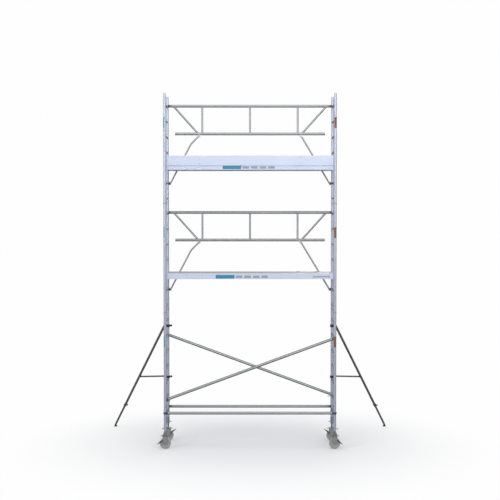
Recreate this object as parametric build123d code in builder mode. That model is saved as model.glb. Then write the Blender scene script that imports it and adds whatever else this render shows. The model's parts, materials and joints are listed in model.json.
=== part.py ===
from build123d import *

import os
from math import atan2, cos, degrees, radians, sin

# A rolling aluminium tower for work along a wall. Millimetres, +Z up.
# X runs along the bay, Y from the front (-) to the rear guardrail side (+), and the
# origin lies on the floor midway between the four castors.

# ---- driving dimensions ----------------------------------------------------------

bay_length = 3050.0
frame_depth = 700.0
frame_base_height = 450.0

post_diameter = 50.8
post_wall = 2.0
rung_diameter = 32.0
rung_wall = 1.6
rung_pitch = 280.0
rungs_per_frame = 7
frames_high = 3

spigot_proud = 50.0
spigot_depth = 90.0
spigot_wall = 3.0
spigot_clearance = 0.4
spigot_chamfer = 2.0
clip_hole_height = 36.0
clip_pin_diameter = 8.0
clip_wire_diameter = 5.0
clip_tilt = 20.0

brace_diameter = 50.8
brace_wall = 2.0
strut_diameter = 35.0
strut_wall = 2.0
leg_tube_diameter = 30.0

claw_wall = 8.0
claw_height = 40.0
claw_gap = 0.3
claw_reach = 45.0
plug_length = 40.0
plug_clearance = 0.1
catch_diameter = 10.0
catch_clearance = 0.08

horizontal_above_rung = 52.0
lower_platform_rung = 9
upper_platform_rung = 16
platform_clearance = 7.0
beam_end_gap = 3.5
beam_height = 105.0
beam_width = 40.0
beam_wall = 3.0
deck_above_rung = 50.0
deck_thickness = 12.0
cross_member_width = 40.0
cross_member_height = 50.0
hook_thickness = 12.0
hatch_length = 600.0
hatch_width = 476.0
hatch_end_distance = 130.0
hatch_gap = 2.0
hinge_knuckle_diameter = 8.0

toe_board_height = 173.0
toe_board_above_rung = 25.0
toe_board_thickness = 16.0

top_rail_above_platform = 1141.0
knee_rail_above_platform = 631.0
knee_rail_half_length = 1384.0
upright_offset = 881.0
strut_top_offset = 1413.0
strut_foot_offset = 953.0
support_top_offset = 943.0
support_bend_offset = 1093.0
support_bend_height = 441.0
support_foot_drop = 290.0
bend_radius = 90.0

wheel_diameter = 200.0
wheel_width = 48.0
axle_diameter = 16.0
core_radius = 78.0
bush_wall = 4.0
running_clearance = 0.06
cheek_gap = 28.2
cheek_thickness = 5.0
fork_top_height = 216.0
fork_plate = 8.0
race_height = 10.0
stem_diameter = 36.0
stem_top_height = 690.0
nut_bottom_height = 322.0
nut_diameter = 55.0
nut_clearance = 0.3
brake_pivot_offset = 50.0
brake_pivot_height = 150.0
brake_down_angle = -37.0
brake_swing = 72.0

stabiliser_bearing = 50.0
stabiliser_clamp_height = 2149.0
stabiliser_arm_height = 1197.0
stabiliser_pivot_reach = 105.0
stabiliser_foot_reach = 1814.0
outer_tube_diameter = 44.0
outer_tube_wall = 2.5
inner_tube_diameter = 38.0
inner_tube_wall = 2.5
outer_tube_end_height = 456.0
inner_tube_overlap = 600.0
arm_diameter = 30.0
foot_diameter = 60.0
foot_pivot_height = 42.0
joint_gap = 0.4

# ---- derived places --------------------------------------------------------------

post_x = bay_length / 2
post_y = frame_depth / 2
post_radius = post_diameter / 2
post_bore = post_radius - post_wall
rung_radius = rung_diameter / 2
frame_height = rung_pitch * rungs_per_frame
wheel_radius = wheel_diameter / 2
side_sign = {"left": -1, "right": 1}
face_sign = {"front": -1, "rear": 1}


def rung_height(index):
    return frame_base_height + rung_pitch * (index + 0.5)


def frame_base(level):
    return frame_base_height + frame_height * level


def upright_plane(y):
    """A plane facing the front, whose own x and y are the model's X and Z."""
    return Plane(origin=(0, y, 0), x_dir=(1, 0, 0), z_dir=(0, -1, 0))


def save(name, *pieces):
    """Label a node made of one or more solids and write its file."""
    node = pieces[0] if len(pieces) == 1 else Compound(children=list(pieces))
    node.label = name
    export_step(node, f"parts/{name}.step")


def rod(start, end, diameter, wall=0.0, cut=()):
    """A straight bar, or a tube when it has a wall, less the shapes in cut."""
    run = Vector(*end) - Vector(*start)
    with BuildPart() as bar:
        with BuildSketch(Plane(origin=start, z_dir=run)):
            Circle(diameter / 2)
            if wall > 0:
                Circle(diameter / 2 - wall, mode=Mode.SUBTRACT)
        extrude(amount=run.length)
        for shape in cut:
            add(shape, mode=Mode.SUBTRACT)
    return bar.part


def block(low, high):
    """A rectangular block between two corners given in any order."""
    size = [abs(b - a) for a, b in zip(low, high)]
    middle = [(a + b) / 2 for a, b in zip(low, high)]
    with BuildPart() as slab:
        with Locations(tuple(middle)):
            Box(*size)
    return slab.part


def fused(*pieces, cut=()):
    """One solid from pieces that overlap, less the shapes in cut."""
    with BuildPart() as whole:
        for piece in pieces:
            add(piece)
        for shape in cut:
            add(shape, mode=Mode.SUBTRACT)
    return whole.part


def round_ended_bar(plane, start, end, width, half_thickness):
    """A flat bar with round ends, between two points of its plane."""
    middle = ((start[0] + end[0]) / 2, (start[1] + end[1]) / 2)
    run = Vector(end[0] - start[0], end[1] - start[1])
    turn = degrees(atan2(run.Y, run.X))
    with BuildPart() as bar:
        with BuildSketch(plane):
            with Locations(Location((*middle, 0), (0, 0, turn))):
                SlotCenterToCenter(run.length, width)
        extrude(amount=half_thickness, both=True)
    return bar.part


# ---- side frames -----------------------------------------------------------------

clip_hole_diameter = clip_pin_diameter + 0.6


def make_post(x, y, base):
    """One post with its clip holes: at its foot, and level with the next frame's foot."""
    with BuildPart() as post:
        with BuildSketch(Plane.XY.offset(base)):
            with Locations((x, y)):
                Circle(post_radius)
                Circle(post_bore, mode=Mode.SUBTRACT)
        extrude(amount=frame_height)
        with BuildSketch(Plane.YZ.offset(x)):
            with Locations((y, base + clip_hole_height)):
                Circle(clip_hole_diameter / 2)
        extrude(amount=post_diameter, both=True, mode=Mode.SUBTRACT)
    return post.part


def make_spigot(x, y, top):
    """The sleeve pressed into a post's top: it stands proud to carry the next frame."""
    inner = post_bore - spigot_wall
    with BuildPart() as spigot:
        with BuildSketch(Plane.XY.offset(top - spigot_depth)):
            with Locations((x, y)):
                Circle(post_bore)
                Circle(inner, mode=Mode.SUBTRACT)
        extrude(amount=spigot_depth)
        with BuildSketch(Plane.XY.offset(top)):
            with Locations((x, y)):
                Circle(post_bore - spigot_clearance)
                Circle(inner, mode=Mode.SUBTRACT)
        extrude(amount=spigot_proud)
        rim = spigot.edges().group_by(Axis.Z)[-1].sort_by(SortBy.RADIUS)[-1]
        chamfer(rim, length=spigot_chamfer)
        with BuildSketch(Plane.YZ.offset(x)):
            with Locations((y, top + clip_hole_height)):
                Circle(clip_hole_diameter / 2)
        extrude(amount=post_diameter, both=True, mode=Mode.SUBTRACT)
    return spigot.part


def make_rung(x, height):
    """A rung whose ends are coped to the two posts that it is welded to."""
    with BuildPart() as rung:
        with BuildSketch(Plane.XZ):
            with Locations((x, height)):
                Circle(rung_radius)
                Circle(rung_radius - rung_wall, mode=Mode.SUBTRACT)
        extrude(amount=post_y, both=True)
        with Locations((x, -post_y, height), (x, post_y, height)):
            Cylinder(post_radius, 2 * rung_diameter, mode=Mode.SUBTRACT)
    return rung.part


def make_side_frame(x, base):
    """Two posts, seven rungs and two spigots, as the parts of one welded ladder frame."""
    posts = [make_post(x, y, base) for y in (-post_y, post_y)]
    heights = [base + rung_pitch * (step + 0.5) for step in range(rungs_per_frame)]
    rungs = [make_rung(x, height) for height in heights]
    spigots = [make_spigot(x, y, base + frame_height) for y in (-post_y, post_y)]
    return posts + rungs + spigots


def make_clip(x, y, height, outward):
    """A locking pin through post and spigot, held by a slanting spring ring."""
    ring_radius = post_radius + clip_wire_diameter + 2.0
    reach = ring_radius * cos(radians(clip_tilt))
    rise = ring_radius * sin(radians(clip_tilt))
    with BuildPart() as clip:
        with Locations(Location((x, y, height + rise), (0, outward * clip_tilt, 0))):
            Torus(ring_radius, clip_wire_diameter / 2)
        pin_middle = x + outward * (reach - 15.0)
        with Locations(Location((pin_middle, y, height), (0, 90, 0))):
            Cylinder(clip_pin_diameter / 2, 30.0)
    return clip.part


level_names = ["lower", "middle", "upper"]


def write_side_frames():
    for side, sign in side_sign.items():
        for level in range(frames_high):
            name = f"side_frame_{side}_{level_names[level]}"
            save(name, *make_side_frame(sign * post_x, frame_base(level)))


def write_clips():
    clips = []
    for sign in side_sign.values():
        for y in (-post_y, post_y):
            for level in range(1, frames_high):
                height = frame_base(level) + clip_hole_height
                clips.append(make_clip(sign * post_x, y, height, sign))
    save("frame_locking_clips", *clips)


# ---- claws and their catches -----------------------------------------------------

tube_bore = brace_diameter - 2 * brace_wall
claw_inner = post_radius + claw_gap
claw_outer = claw_inner + claw_wall
catch_offset = post_radius + catch_diameter / 2 + 1.0
catch_rise = 12.0
catch_nose = 2.0
guide_near = 28.0
guide_far = 43.0
tab_near = 74.0
tab_far = 82.0


def post_claw(side, face, height):
    """A half-ring claw that hooks round a post from outside, with a plug for its tube.

    side and face are the signs of the post's X and Y.
    """
    x = side * post_x
    y = face * post_y
    catch_y = y - face * catch_offset
    catch_z = height + catch_rise
    collar_end = (x - side * claw_reach, y, height)
    plug_end = (x - side * (claw_reach + plug_length), y, height)
    collar = rod((x - side * claw_inner, y, height), collar_end, brace_diameter)
    plug = rod(collar_end, plug_end, tube_bore - 2 * plug_clearance)
    guide = block((x - side * guide_near, y - face * 12, height - 2),
                  (x - side * guide_far, catch_y - face * 10, height + 22))
    catch_bore = rod((x, catch_y, catch_z), (x - side * tab_far, catch_y, catch_z),
                     catch_diameter + 2 * catch_clearance)
    post_core = rod((x, y, height - claw_height), (x, y, height + claw_height),
                    2 * claw_inner)
    with BuildPart() as claw:
        with BuildSketch(Plane.XY.offset(height - claw_height / 2)):
            with Locations((x, y)):
                Circle(claw_outer)
                Circle(claw_inner, mode=Mode.SUBTRACT)
            with Locations((x, y - face * (claw_outer / 2 + claw_wall))):
                Rectangle(4 * claw_outer, claw_outer, mode=Mode.SUBTRACT)
        extrude(amount=claw_height)
        add([collar, plug, guide])
        add([catch_bore, post_core], mode=Mode.SUBTRACT)
    return claw.part


def post_catch(side, face, height):
    """The sprung bolt that closes a post claw behind the post, with its finger tab."""
    x = side * post_x
    y = face * (post_y - catch_offset)
    z = height + catch_rise
    bolt = rod((x + side * catch_nose, y, z), (x - side * tab_far, y, z), catch_diameter)
    tab = block((x - side * tab_near, y + face * 4, z - 9),
                (x - side * tab_far, y - face * 18, z + 9))
    return fused(bolt, tab)


# A diagonal's claw hooks over a rung from above, just inside the post.
rung_claw_inner = rung_radius + claw_gap
rung_claw_outer = rung_claw_inner + claw_wall
rung_claw_width = 36.0
rung_claw_inset = post_radius + rung_claw_width / 2 + 8.0
rung_claw_y = post_y - rung_claw_inset
rung_claw_reach = 44.0
rung_catch_offset = brace_diameter / 2 + catch_diameter / 2 + 1.0
rung_catch_drop = rung_radius + catch_diameter / 2 + 1.0


def rung_claw(side, face, height, toward):
    """A claw over a rung. toward is the unit vector of the brace, away from the rung."""
    x = side * post_x
    y = face * rung_claw_y
    centre = Vector(x, y, height)
    collar_end = centre + toward * rung_claw_reach
    catch_y = y - face * rung_catch_offset
    catch_z = height - rung_catch_drop
    collar = rod(centre + toward * rung_claw_inner, collar_end, brace_diameter)
    plug = rod(collar_end, collar_end + toward * plug_length,
               tube_bore - 2 * plug_clearance)
    guide = block((x - side * (rung_claw_inner + 1), y - face * 8, height + 6),
                  (x - side * (rung_claw_inner + 20), catch_y - face * 9, catch_z - 9))
    catch_bore = rod((x, catch_y, catch_z), (x - side * tab_far, catch_y, catch_z),
                     catch_diameter + 2 * catch_clearance)
    rung_core = rod((x, y - 3 * rung_claw_width, height),
                    (x, y + 3 * rung_claw_width, height), 2 * rung_claw_inner)
    mouth_x = x + side * rung_claw_outer / 2
    with BuildPart() as claw:
        with BuildSketch(upright_plane(y)):
            with Locations((x, height)):
                Circle(rung_claw_outer)
                Circle(rung_claw_inner, mode=Mode.SUBTRACT)
            with Locations((mouth_x, height - rung_claw_outer)):
                Rectangle(3 * rung_claw_outer, 2 * rung_claw_outer - 10,
                          mode=Mode.SUBTRACT)
        extrude(amount=rung_claw_width / 2, both=True)
        add([collar, plug, guide])
        add([catch_bore, rung_core], mode=Mode.SUBTRACT)
    return claw.part


def rung_catch(side, face, height):
    """The sprung bolt that closes a rung claw under the rung, with its finger tab."""
    x = side * post_x
    y = face * (rung_claw_y - rung_catch_offset)
    z = height - rung_catch_drop
    bolt = rod((x + side * catch_nose, y, z), (x - side * tab_far, y, z), catch_diameter)
    tab = block((x - side * tab_near, y + face * 4, z - 9),
                (x - side * tab_far, y - face * 18, z + 9))
    return fused(bolt, tab)


# ---- braces ----------------------------------------------------------------------

horizontal_height = rung_height(0) + horizontal_above_rung
diagonal_low = rung_height(1)
diagonal_high = rung_height(5)


def make_horizontal(face):
    y = face * post_y
    end = post_x - claw_reach
    tube = rod((-end, y, horizontal_height), (end, y, horizontal_height),
               brace_diameter, brace_wall)
    claws = [post_claw(side, face, horizontal_height) for side in side_sign.values()]
    return [tube, *claws]


def diagonal_ends(face):
    """Left and right rung heights: the front brace climbs to the right, the rear one left."""
    return (diagonal_low, diagonal_high) if face < 0 else (diagonal_high, diagonal_low)


def make_diagonal(face):
    left_height, right_height = diagonal_ends(face)
    y = face * rung_claw_y
    left = Vector(-post_x, y, left_height)
    right = Vector(post_x, y, right_height)
    along = (right - left).normalized()
    tube = rod(left + along * rung_claw_reach, right - along * rung_claw_reach,
               brace_diameter, brace_wall)
    left_claw = rung_claw(-1, face, left_height, along)
    right_claw = rung_claw(1, face, right_height, along * -1)
    return [tube, left_claw, right_claw]


def write_braces():
    for face_name, face in face_sign.items():
        save(f"horizontal_brace_{face_name}", *make_horizontal(face))
        save(f"diagonal_brace_{face_name}", *make_diagonal(face))
    for side_name, side in side_sign.items():
        catches = []
        for face in face_sign.values():
            catches.append(post_catch(side, face, horizontal_height))
            height = diagonal_ends(face)[0 if side < 0 else 1]
            catches.append(rung_catch(side, face, height))
        save(f"brace_catches_{side_name}", *catches)


# ---- guardrails ------------------------------------------------------------------


def guardrail_leg(side, top, foot, bend=None):
    """A support leg. With a bend point it is one tube bent through a round corner."""
    if bend is None:
        return rod(top, foot, leg_tube_diameter, strut_wall)
    with BuildPart() as leg:
        with BuildLine() as route:
            FilletPolyline(top, bend, foot, radius=bend_radius)
        start = Plane(origin=route.line @ 0, z_dir=route.line % 0)
        with BuildSketch(start):
            Circle(leg_tube_diameter / 2)
            Circle(leg_tube_diameter / 2 - strut_wall, mode=Mode.SUBTRACT)
        sweep(path=route.line)
    return leg.part


def leg_coupler(side, height):
    """A half-shell that bears on the rear post from outside, at the foot of a leg."""
    x = side * post_x
    with BuildPart() as coupler:
        with BuildSketch(Plane.XY.offset(height - claw_height / 2)):
            with Locations((x, post_y)):
                Circle(claw_outer)
                Circle(claw_inner, mode=Mode.SUBTRACT)
            with Locations((x, post_y - claw_outer / 2 - claw_wall)):
                Rectangle(4 * claw_outer, claw_outer, mode=Mode.SUBTRACT)
        extrude(amount=claw_height)
    return coupler.part


def make_guardrail(rung):
    """The rear guardrail frame of a platform, with its claws and leg couplers."""
    base = rung_height(rung)
    top = base + top_rail_above_platform
    knee = base + knee_rail_above_platform
    y = post_y
    rail_end = post_x - claw_reach
    top_rail = rod((-rail_end, y, top), (rail_end, y, top), brace_diameter, brace_wall)
    knee_end = knee_rail_half_length
    knee_rail = rod((-knee_end, y, knee), (knee_end, y, knee), brace_diameter, brace_wall)
    top_core = rod((-rail_end, y, top), (rail_end, y, top), brace_diameter)
    knee_core = rod((-knee_end, y, knee), (knee_end, y, knee), brace_diameter)
    cores = (top_core, knee_core)
    struts = []
    for x in (-upright_offset, 0.0, upright_offset):
        struts.append(rod((x, y, knee), (x, y, top), strut_diameter, strut_wall, cores))
    for side in side_sign.values():
        head = (side * strut_top_offset, y, top)
        foot = (side * strut_foot_offset, y, knee)
        struts.append(rod(head, foot, strut_diameter, strut_wall, cores))
    legs = []
    for side in side_sign.values():
        head = (side * support_top_offset, y, knee - brace_diameter / 2 - 12)
        foot_height = base - support_foot_drop
        foot_x = side * (post_x - claw_outer - leg_tube_diameter / 2)
        foot = (foot_x, y, foot_height)
        bend = (side * support_bend_offset, y, base + support_bend_height)
        legs.append(guardrail_leg(side, head, foot, bend if side < 0 else None))
    brackets = []
    for side in side_sign.values():
        x = side * support_top_offset
        low = knee - brace_diameter / 2 - 38
        plate = block((x - 24, y - leg_tube_diameter / 2 - 4, low),
                      (x + 24, y + leg_tube_diameter / 2 + 4, knee))
        leg = legs[0] if side < 0 else legs[1]
        leg_core = rod((x, y, knee), (x + side * 30, y, low - 30), leg_tube_diameter)
        brackets.append(fused(plate, cut=(knee_core, leg, leg_core)))
    claws = [post_claw(side, 1, top) for side in side_sign.values()]
    feet = []
    for side in side_sign.values():
        coupler = leg_coupler(side, base - support_foot_drop)
        leg = legs[0] if side < 0 else legs[1]
        x = side * (post_x - claw_outer)
        ear = block((x + side * 4, y - 9, base - support_foot_drop - 20),
                    (x - side * 30, y + 9, base - support_foot_drop + 34))
        post_core = rod((side * post_x, y, base - 400), (side * post_x, y, base),
                        2 * claw_inner)
        feet.append(fused(coupler, ear, cut=(leg, post_core)))
    return [top_rail, knee_rail, *struts, *legs, *brackets, *claws, *feet]


def write_guardrails():
    for name, rung in (("lower", lower_platform_rung), ("upper", upper_platform_rung)):
        save(f"guardrail_{name}", *make_guardrail(rung))
    for side_name, side in side_sign.items():
        catches = []
        for rung in (lower_platform_rung, upper_platform_rung):
            height = rung_height(rung) + top_rail_above_platform
            catches.append(post_catch(side, 1, height))
        save(f"guardrail_catches_{side_name}", *catches)


# ---- platforms -------------------------------------------------------------------

beam_half_length = post_x - post_radius - beam_end_gap
beam_outer_y = post_y - post_radius - platform_clearance
beam_inner_y = beam_outer_y - beam_width
beam_middle_y = (beam_outer_y + beam_inner_y) / 2
hatch_far_x = beam_half_length - hatch_end_distance
hatch_near_x = hatch_far_x - hatch_length
hatch_edge_y = hatch_width / 2
toe_end_board_inset = 18.0
deck_strip_width = toe_end_board_inset + toe_board_thickness + 6.0
cross_members_before_hatch = 5
hook_wall = 12.0
hook_tongue = 70.0
hook_lip_drop = 8.0
latch_rod_diameter = 12.0
latch_setback = 32.0
latch_drop = 34.0
latch_plate_thickness = 8.0
hinge_positions = (hatch_near_x + hatch_length * 0.2, hatch_near_x + hatch_length * 0.8)
hinge_leaf_length = 70.0
hinge_leaf_width = 30.0
hinge_leaf_thickness = 2.0
hinge_pin_diameter = 4.0


def make_hook(side, y, rung_z):
    """The cast end of a side beam: a tongue in the beam and a hook over the rung."""
    rung_x = side * post_x
    beam_end = side * beam_half_length
    inner = rung_radius + claw_gap
    outer = inner + hook_wall
    tongue_start = beam_end - side * hook_tongue
    with BuildPart() as hook:
        with BuildSketch(upright_plane(y)):
            with Locations((rung_x, rung_z)):
                Circle(outer)
            with Locations(((tongue_start + rung_x) / 2, rung_z)):
                Rectangle(abs(rung_x - tongue_start), 2 * outer)
            with Locations((rung_x, rung_z)):
                Circle(inner, mode=Mode.SUBTRACT)
            mouth_height = 2 * outer
            mouth_x = rung_x + side * (outer - inner) / 2
            with Locations((mouth_x, rung_z - hook_lip_drop - mouth_height / 2)):
                Rectangle(outer + inner, mouth_height, mode=Mode.SUBTRACT)
        extrude(amount=beam_width / 2 - beam_wall, both=True)
    return hook.part


def make_beam(face, rung_z):
    """A hollow side beam, with the bore for the wind latch rod in its inner wall."""
    with BuildPart() as beam:
        with BuildSketch(Plane.YZ.offset(-beam_half_length)):
            with Locations((face * beam_middle_y, rung_z + deck_above_rung - beam_height / 2)):
                Rectangle(beam_width, beam_height)
                Rectangle(beam_width - 2 * beam_wall, beam_height - 2 * beam_wall,
                          mode=Mode.SUBTRACT)
        extrude(amount=2 * beam_half_length)
        with BuildSketch(upright_plane(face * beam_inner_y)):
            with Locations((-beam_half_length + latch_setback, rung_z - latch_drop)):
                Circle(latch_rod_diameter / 2 + running_clearance)
        extrude(amount=2 * beam_wall, both=True, mode=Mode.SUBTRACT)
    return beam.part


def make_platform_frame(rung_z):
    deck_underside = rung_z + deck_above_rung - deck_thickness
    member_low = deck_underside - cross_member_height
    pieces = []
    for face in face_sign.values():
        pieces.append(make_beam(face, rung_z))
        for side in side_sign.values():
            pieces.append(make_hook(side, face * beam_middle_y, rung_z))
    first = -beam_half_length + cross_member_width / 2
    last = hatch_near_x - hatch_gap - cross_member_width / 2
    step = (last - first) / (cross_members_before_hatch - 1)
    places = [first + step * number for number in range(cross_members_before_hatch)]
    places.append(hatch_far_x + hatch_gap + cross_member_width / 2)
    places.append(beam_half_length - cross_member_width / 2)
    for x in places:
        half = cross_member_width / 2
        member = block((x - half, -beam_inner_y, member_low),
                       (x + half, beam_inner_y, deck_underside))
        bore = block((x - half + beam_wall, -beam_inner_y, member_low + beam_wall),
                     (x + half - beam_wall, beam_inner_y, deck_underside - beam_wall))
        pieces.append(fused(member, cut=(bore,)))
    stringer_start = hatch_near_x - hatch_gap
    stringer_end = hatch_far_x + hatch_gap
    for face in face_sign.values():
        low = (stringer_start, face * (hatch_edge_y - 12), member_low + 8)
        high = (stringer_end, face * (hatch_edge_y + 20), deck_underside - joint_gap)
        pieces.append(block(low, high))
    return pieces


def hinge_knuckle(x, length, z):
    """A knuckle with its bore, along the hatch's rear edge."""
    start = (x - length / 2, hatch_edge_y, z)
    end = (x + length / 2, hatch_edge_y, z)
    return start, end


def make_deck(rung_z):
    """An end strip that can carry a toe board, the panels round the hatch, and the hinges."""
    top = rung_z + deck_above_rung
    low = top - deck_thickness
    strip_x = deck_strip_width - beam_half_length
    pieces = [
        block((-beam_half_length, -beam_inner_y, low), (strip_x, beam_inner_y, top)),
        block((strip_x, -beam_inner_y, low), (hatch_near_x, beam_inner_y, top)),
        block((hatch_far_x, -beam_inner_y, low), (beam_half_length, beam_inner_y, top)),
    ]
    for face in face_sign.values():
        pieces.append(block((hatch_near_x, face * hatch_edge_y, low),
                            (hatch_far_x, face * beam_inner_y, top)))
    knuckle_z = top + hinge_knuckle_diameter / 2
    third = hinge_leaf_length / 3
    for x in hinge_positions:
        leaf = block((x - hinge_leaf_length / 2, hatch_edge_y, top),
                     (x + hinge_leaf_length / 2, hatch_edge_y + hinge_leaf_width,
                      top + hinge_leaf_thickness))
        middle = block((x - third / 2 - joint_gap, hatch_edge_y - 6, top - 1),
                       (x + third / 2 + joint_gap, hatch_edge_y + 6, top + 10))
        start, end = hinge_knuckle(x, hinge_leaf_length, knuckle_z)
        barrel = fused(leaf, rod(start, end, hinge_knuckle_diameter), cut=(middle,))
        pin = rod(start, end, hinge_pin_diameter)
        pieces.append(fused(barrel, pin))
    return pieces


def make_trapdoor(rung_z):
    """The hatch cover and the moving leaves of its hinges."""
    top = rung_z + deck_above_rung
    panel = block((hatch_near_x + hatch_gap, -hatch_edge_y + hatch_gap, top - deck_thickness),
                  (hatch_far_x - hatch_gap, hatch_edge_y - hatch_gap, top))
    pieces = [panel]
    knuckle_z = top + hinge_knuckle_diameter / 2
    third = hinge_leaf_length / 3
    for x in hinge_positions:
        leaf = block((x - third / 2, hatch_edge_y - hinge_leaf_width, top),
                     (x + third / 2, hatch_edge_y, top + hinge_leaf_thickness))
        start, end = hinge_knuckle(x, third, knuckle_z)
        bore_start, bore_end = hinge_knuckle(x, hinge_leaf_length, knuckle_z)
        bore = rod(bore_start, bore_end, hinge_pin_diameter + 2 * running_clearance)
        pieces.append(fused(leaf, rod(start, end, hinge_knuckle_diameter), cut=(bore,)))
    return pieces


def make_wind_latch(rung_z):
    """A rod between the side beams with two fingers that close under the rung."""
    x = -beam_half_length + latch_setback
    z = rung_z - latch_drop
    reach = beam_inner_y + beam_wall - claw_gap
    bar = rod((x, -reach, z), (x, reach, z), latch_rod_diameter)
    finger_z = rung_z - rung_radius - 7.0
    fingers = []
    for face in face_sign.values():
        with BuildPart() as finger:
            middle = face * (beam_inner_y - 2.0 - latch_plate_thickness / 2)
            with BuildSketch(upright_plane(middle)):
                with Locations((x, z)):
                    Circle(12)
                with Locations((-post_x - rung_radius / 2, finger_z)):
                    Circle(6)
                make_hull()
            extrude(amount=latch_plate_thickness / 2, both=True)
        fingers.append(finger.part)
    return fused(bar, *fingers)


def write_platforms():
    for name, rung in (("lower", lower_platform_rung), ("upper", upper_platform_rung)):
        rung_z = rung_height(rung)
        save(f"platform_frame_{name}", *make_platform_frame(rung_z))
        save(f"deck_{name}", *make_deck(rung_z))
        save(f"trapdoor_{name}", *make_trapdoor(rung_z))
        save(f"wind_latch_{name}", make_wind_latch(rung_z))


# ---- toe boards ------------------------------------------------------------------

toe_board_wall = 1.6
toe_board_end_gap = 9.0


def hollow_board(low, high, axis):
    """A board that is hollow along one axis (0 for X, 1 for Y)."""
    core_low = [value + toe_board_wall for value in low]
    core_high = [value - toe_board_wall for value in high]
    core_low[axis] = low[axis]
    core_high[axis] = high[axis]
    outer = block(low, high)
    core = block(core_low, core_high)
    return fused(outer, cut=(core,))


def write_toe_boards():
    """Boards round the upper deck: the long ones lap the side beams from outside."""
    rung_z = rung_height(upper_platform_rung)
    low_z = rung_z + toe_board_above_rung
    high_z = low_z + toe_board_height
    half = post_x - post_radius - toe_board_end_gap
    boards = []
    for face in face_sign.values():
        near, far = sorted((face * beam_outer_y, face * (beam_outer_y + toe_board_thickness)))
        boards.append(hollow_board((-half, near, low_z), (half, far, high_z), 0))
    for side in side_sign.values():
        outer = side * (beam_half_length - toe_end_board_inset)
        near, far = sorted((outer, outer - side * toe_board_thickness))
        boards.append(hollow_board((near, -beam_outer_y, rung_z + deck_above_rung),
                                   (far, beam_outer_y, high_z), 1))
    save("toe_boards", *boards)


# ---- castors ---------------------------------------------------------------------

core_rim_width = 44.0
core_web = 14.0
boss_radius = 28.0
boss_width = 2 * cheek_gap - 2.4
cheek_outer = cheek_gap + cheek_thickness
bolt_head = 8.0
bolt_head_radius = 14.0
race_top = fork_top_height + race_height
kingpin_diameter = 20.0
flange_diameter = 58.0
flange_thickness = 6.6
hexagon_height = 17.0
hexagon_radius = 24.0
stem_bore = 26.0
flange_low = race_top + joint_gap
hexagon_low = flange_low + flange_thickness
stem_low = hexagon_low + hexagon_height
nut_shoulder = 20.0
nut_handle_height = 360.0
nut_handle_diameter = 16.0
nut_handle_reach = 60.0
pedal_plate = 4.0
pedal_gap = 0.4
pedal_pin_diameter = 10.0
paddle_start = 78.0
paddle_end = 113.0
paddle_thickness = 6.0
lock_pivot_offset = 44.0
lock_pivot_height = 238.0
lock_lever_half_width = 12.0
lock_pin_diameter = 6.0
lock_hub_diameter = 14.0
lock_bar_width = 8.0
lock_tread_reach = 40.0
lock_tread_drop = 9.0
lock_nose_reach = 6.0
lock_nose_rise = 18.0


def make_wheel(x, y):
    """Tyre, wheel core and bearing bush, all turned about the axle."""
    axle = Axis((x, y, wheel_radius), (0, 1, 0))
    section = Plane(origin=(x, y, wheel_radius), x_dir=(0, 1, 0), z_dir=(1, 0, 0))
    with BuildPart() as tyre:
        with BuildSketch(section) as tread:
            with Locations((0, (wheel_radius + core_radius) / 2)):
                Rectangle(wheel_width, wheel_radius - core_radius)
            fillet(tread.vertices().group_by(Axis.Y)[-1], radius=9.0)
        revolve(axis=axle)
    bush_radius = axle_diameter / 2 + running_clearance + bush_wall
    rim = core_rim_width / 2
    web = core_web / 2
    boss = boss_width / 2
    half_outline = [(boss, bush_radius), (boss, boss_radius), (web, boss_radius),
                    (web, core_radius - 12), (rim, core_radius - 8), (rim, core_radius)]
    other_half = [(-across, radius) for across, radius in reversed(half_outline)]
    with BuildPart() as core:
        with BuildSketch(section):
            with BuildLine():
                Polyline(*half_outline, *other_half, close=True)
            make_face()
        revolve(axis=axle)
    bush = rod((x, y - boss, wheel_radius), (x, y + boss, wheel_radius),
               2 * bush_radius, bush_wall)
    return [tyre.part, core.part, bush]


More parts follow.
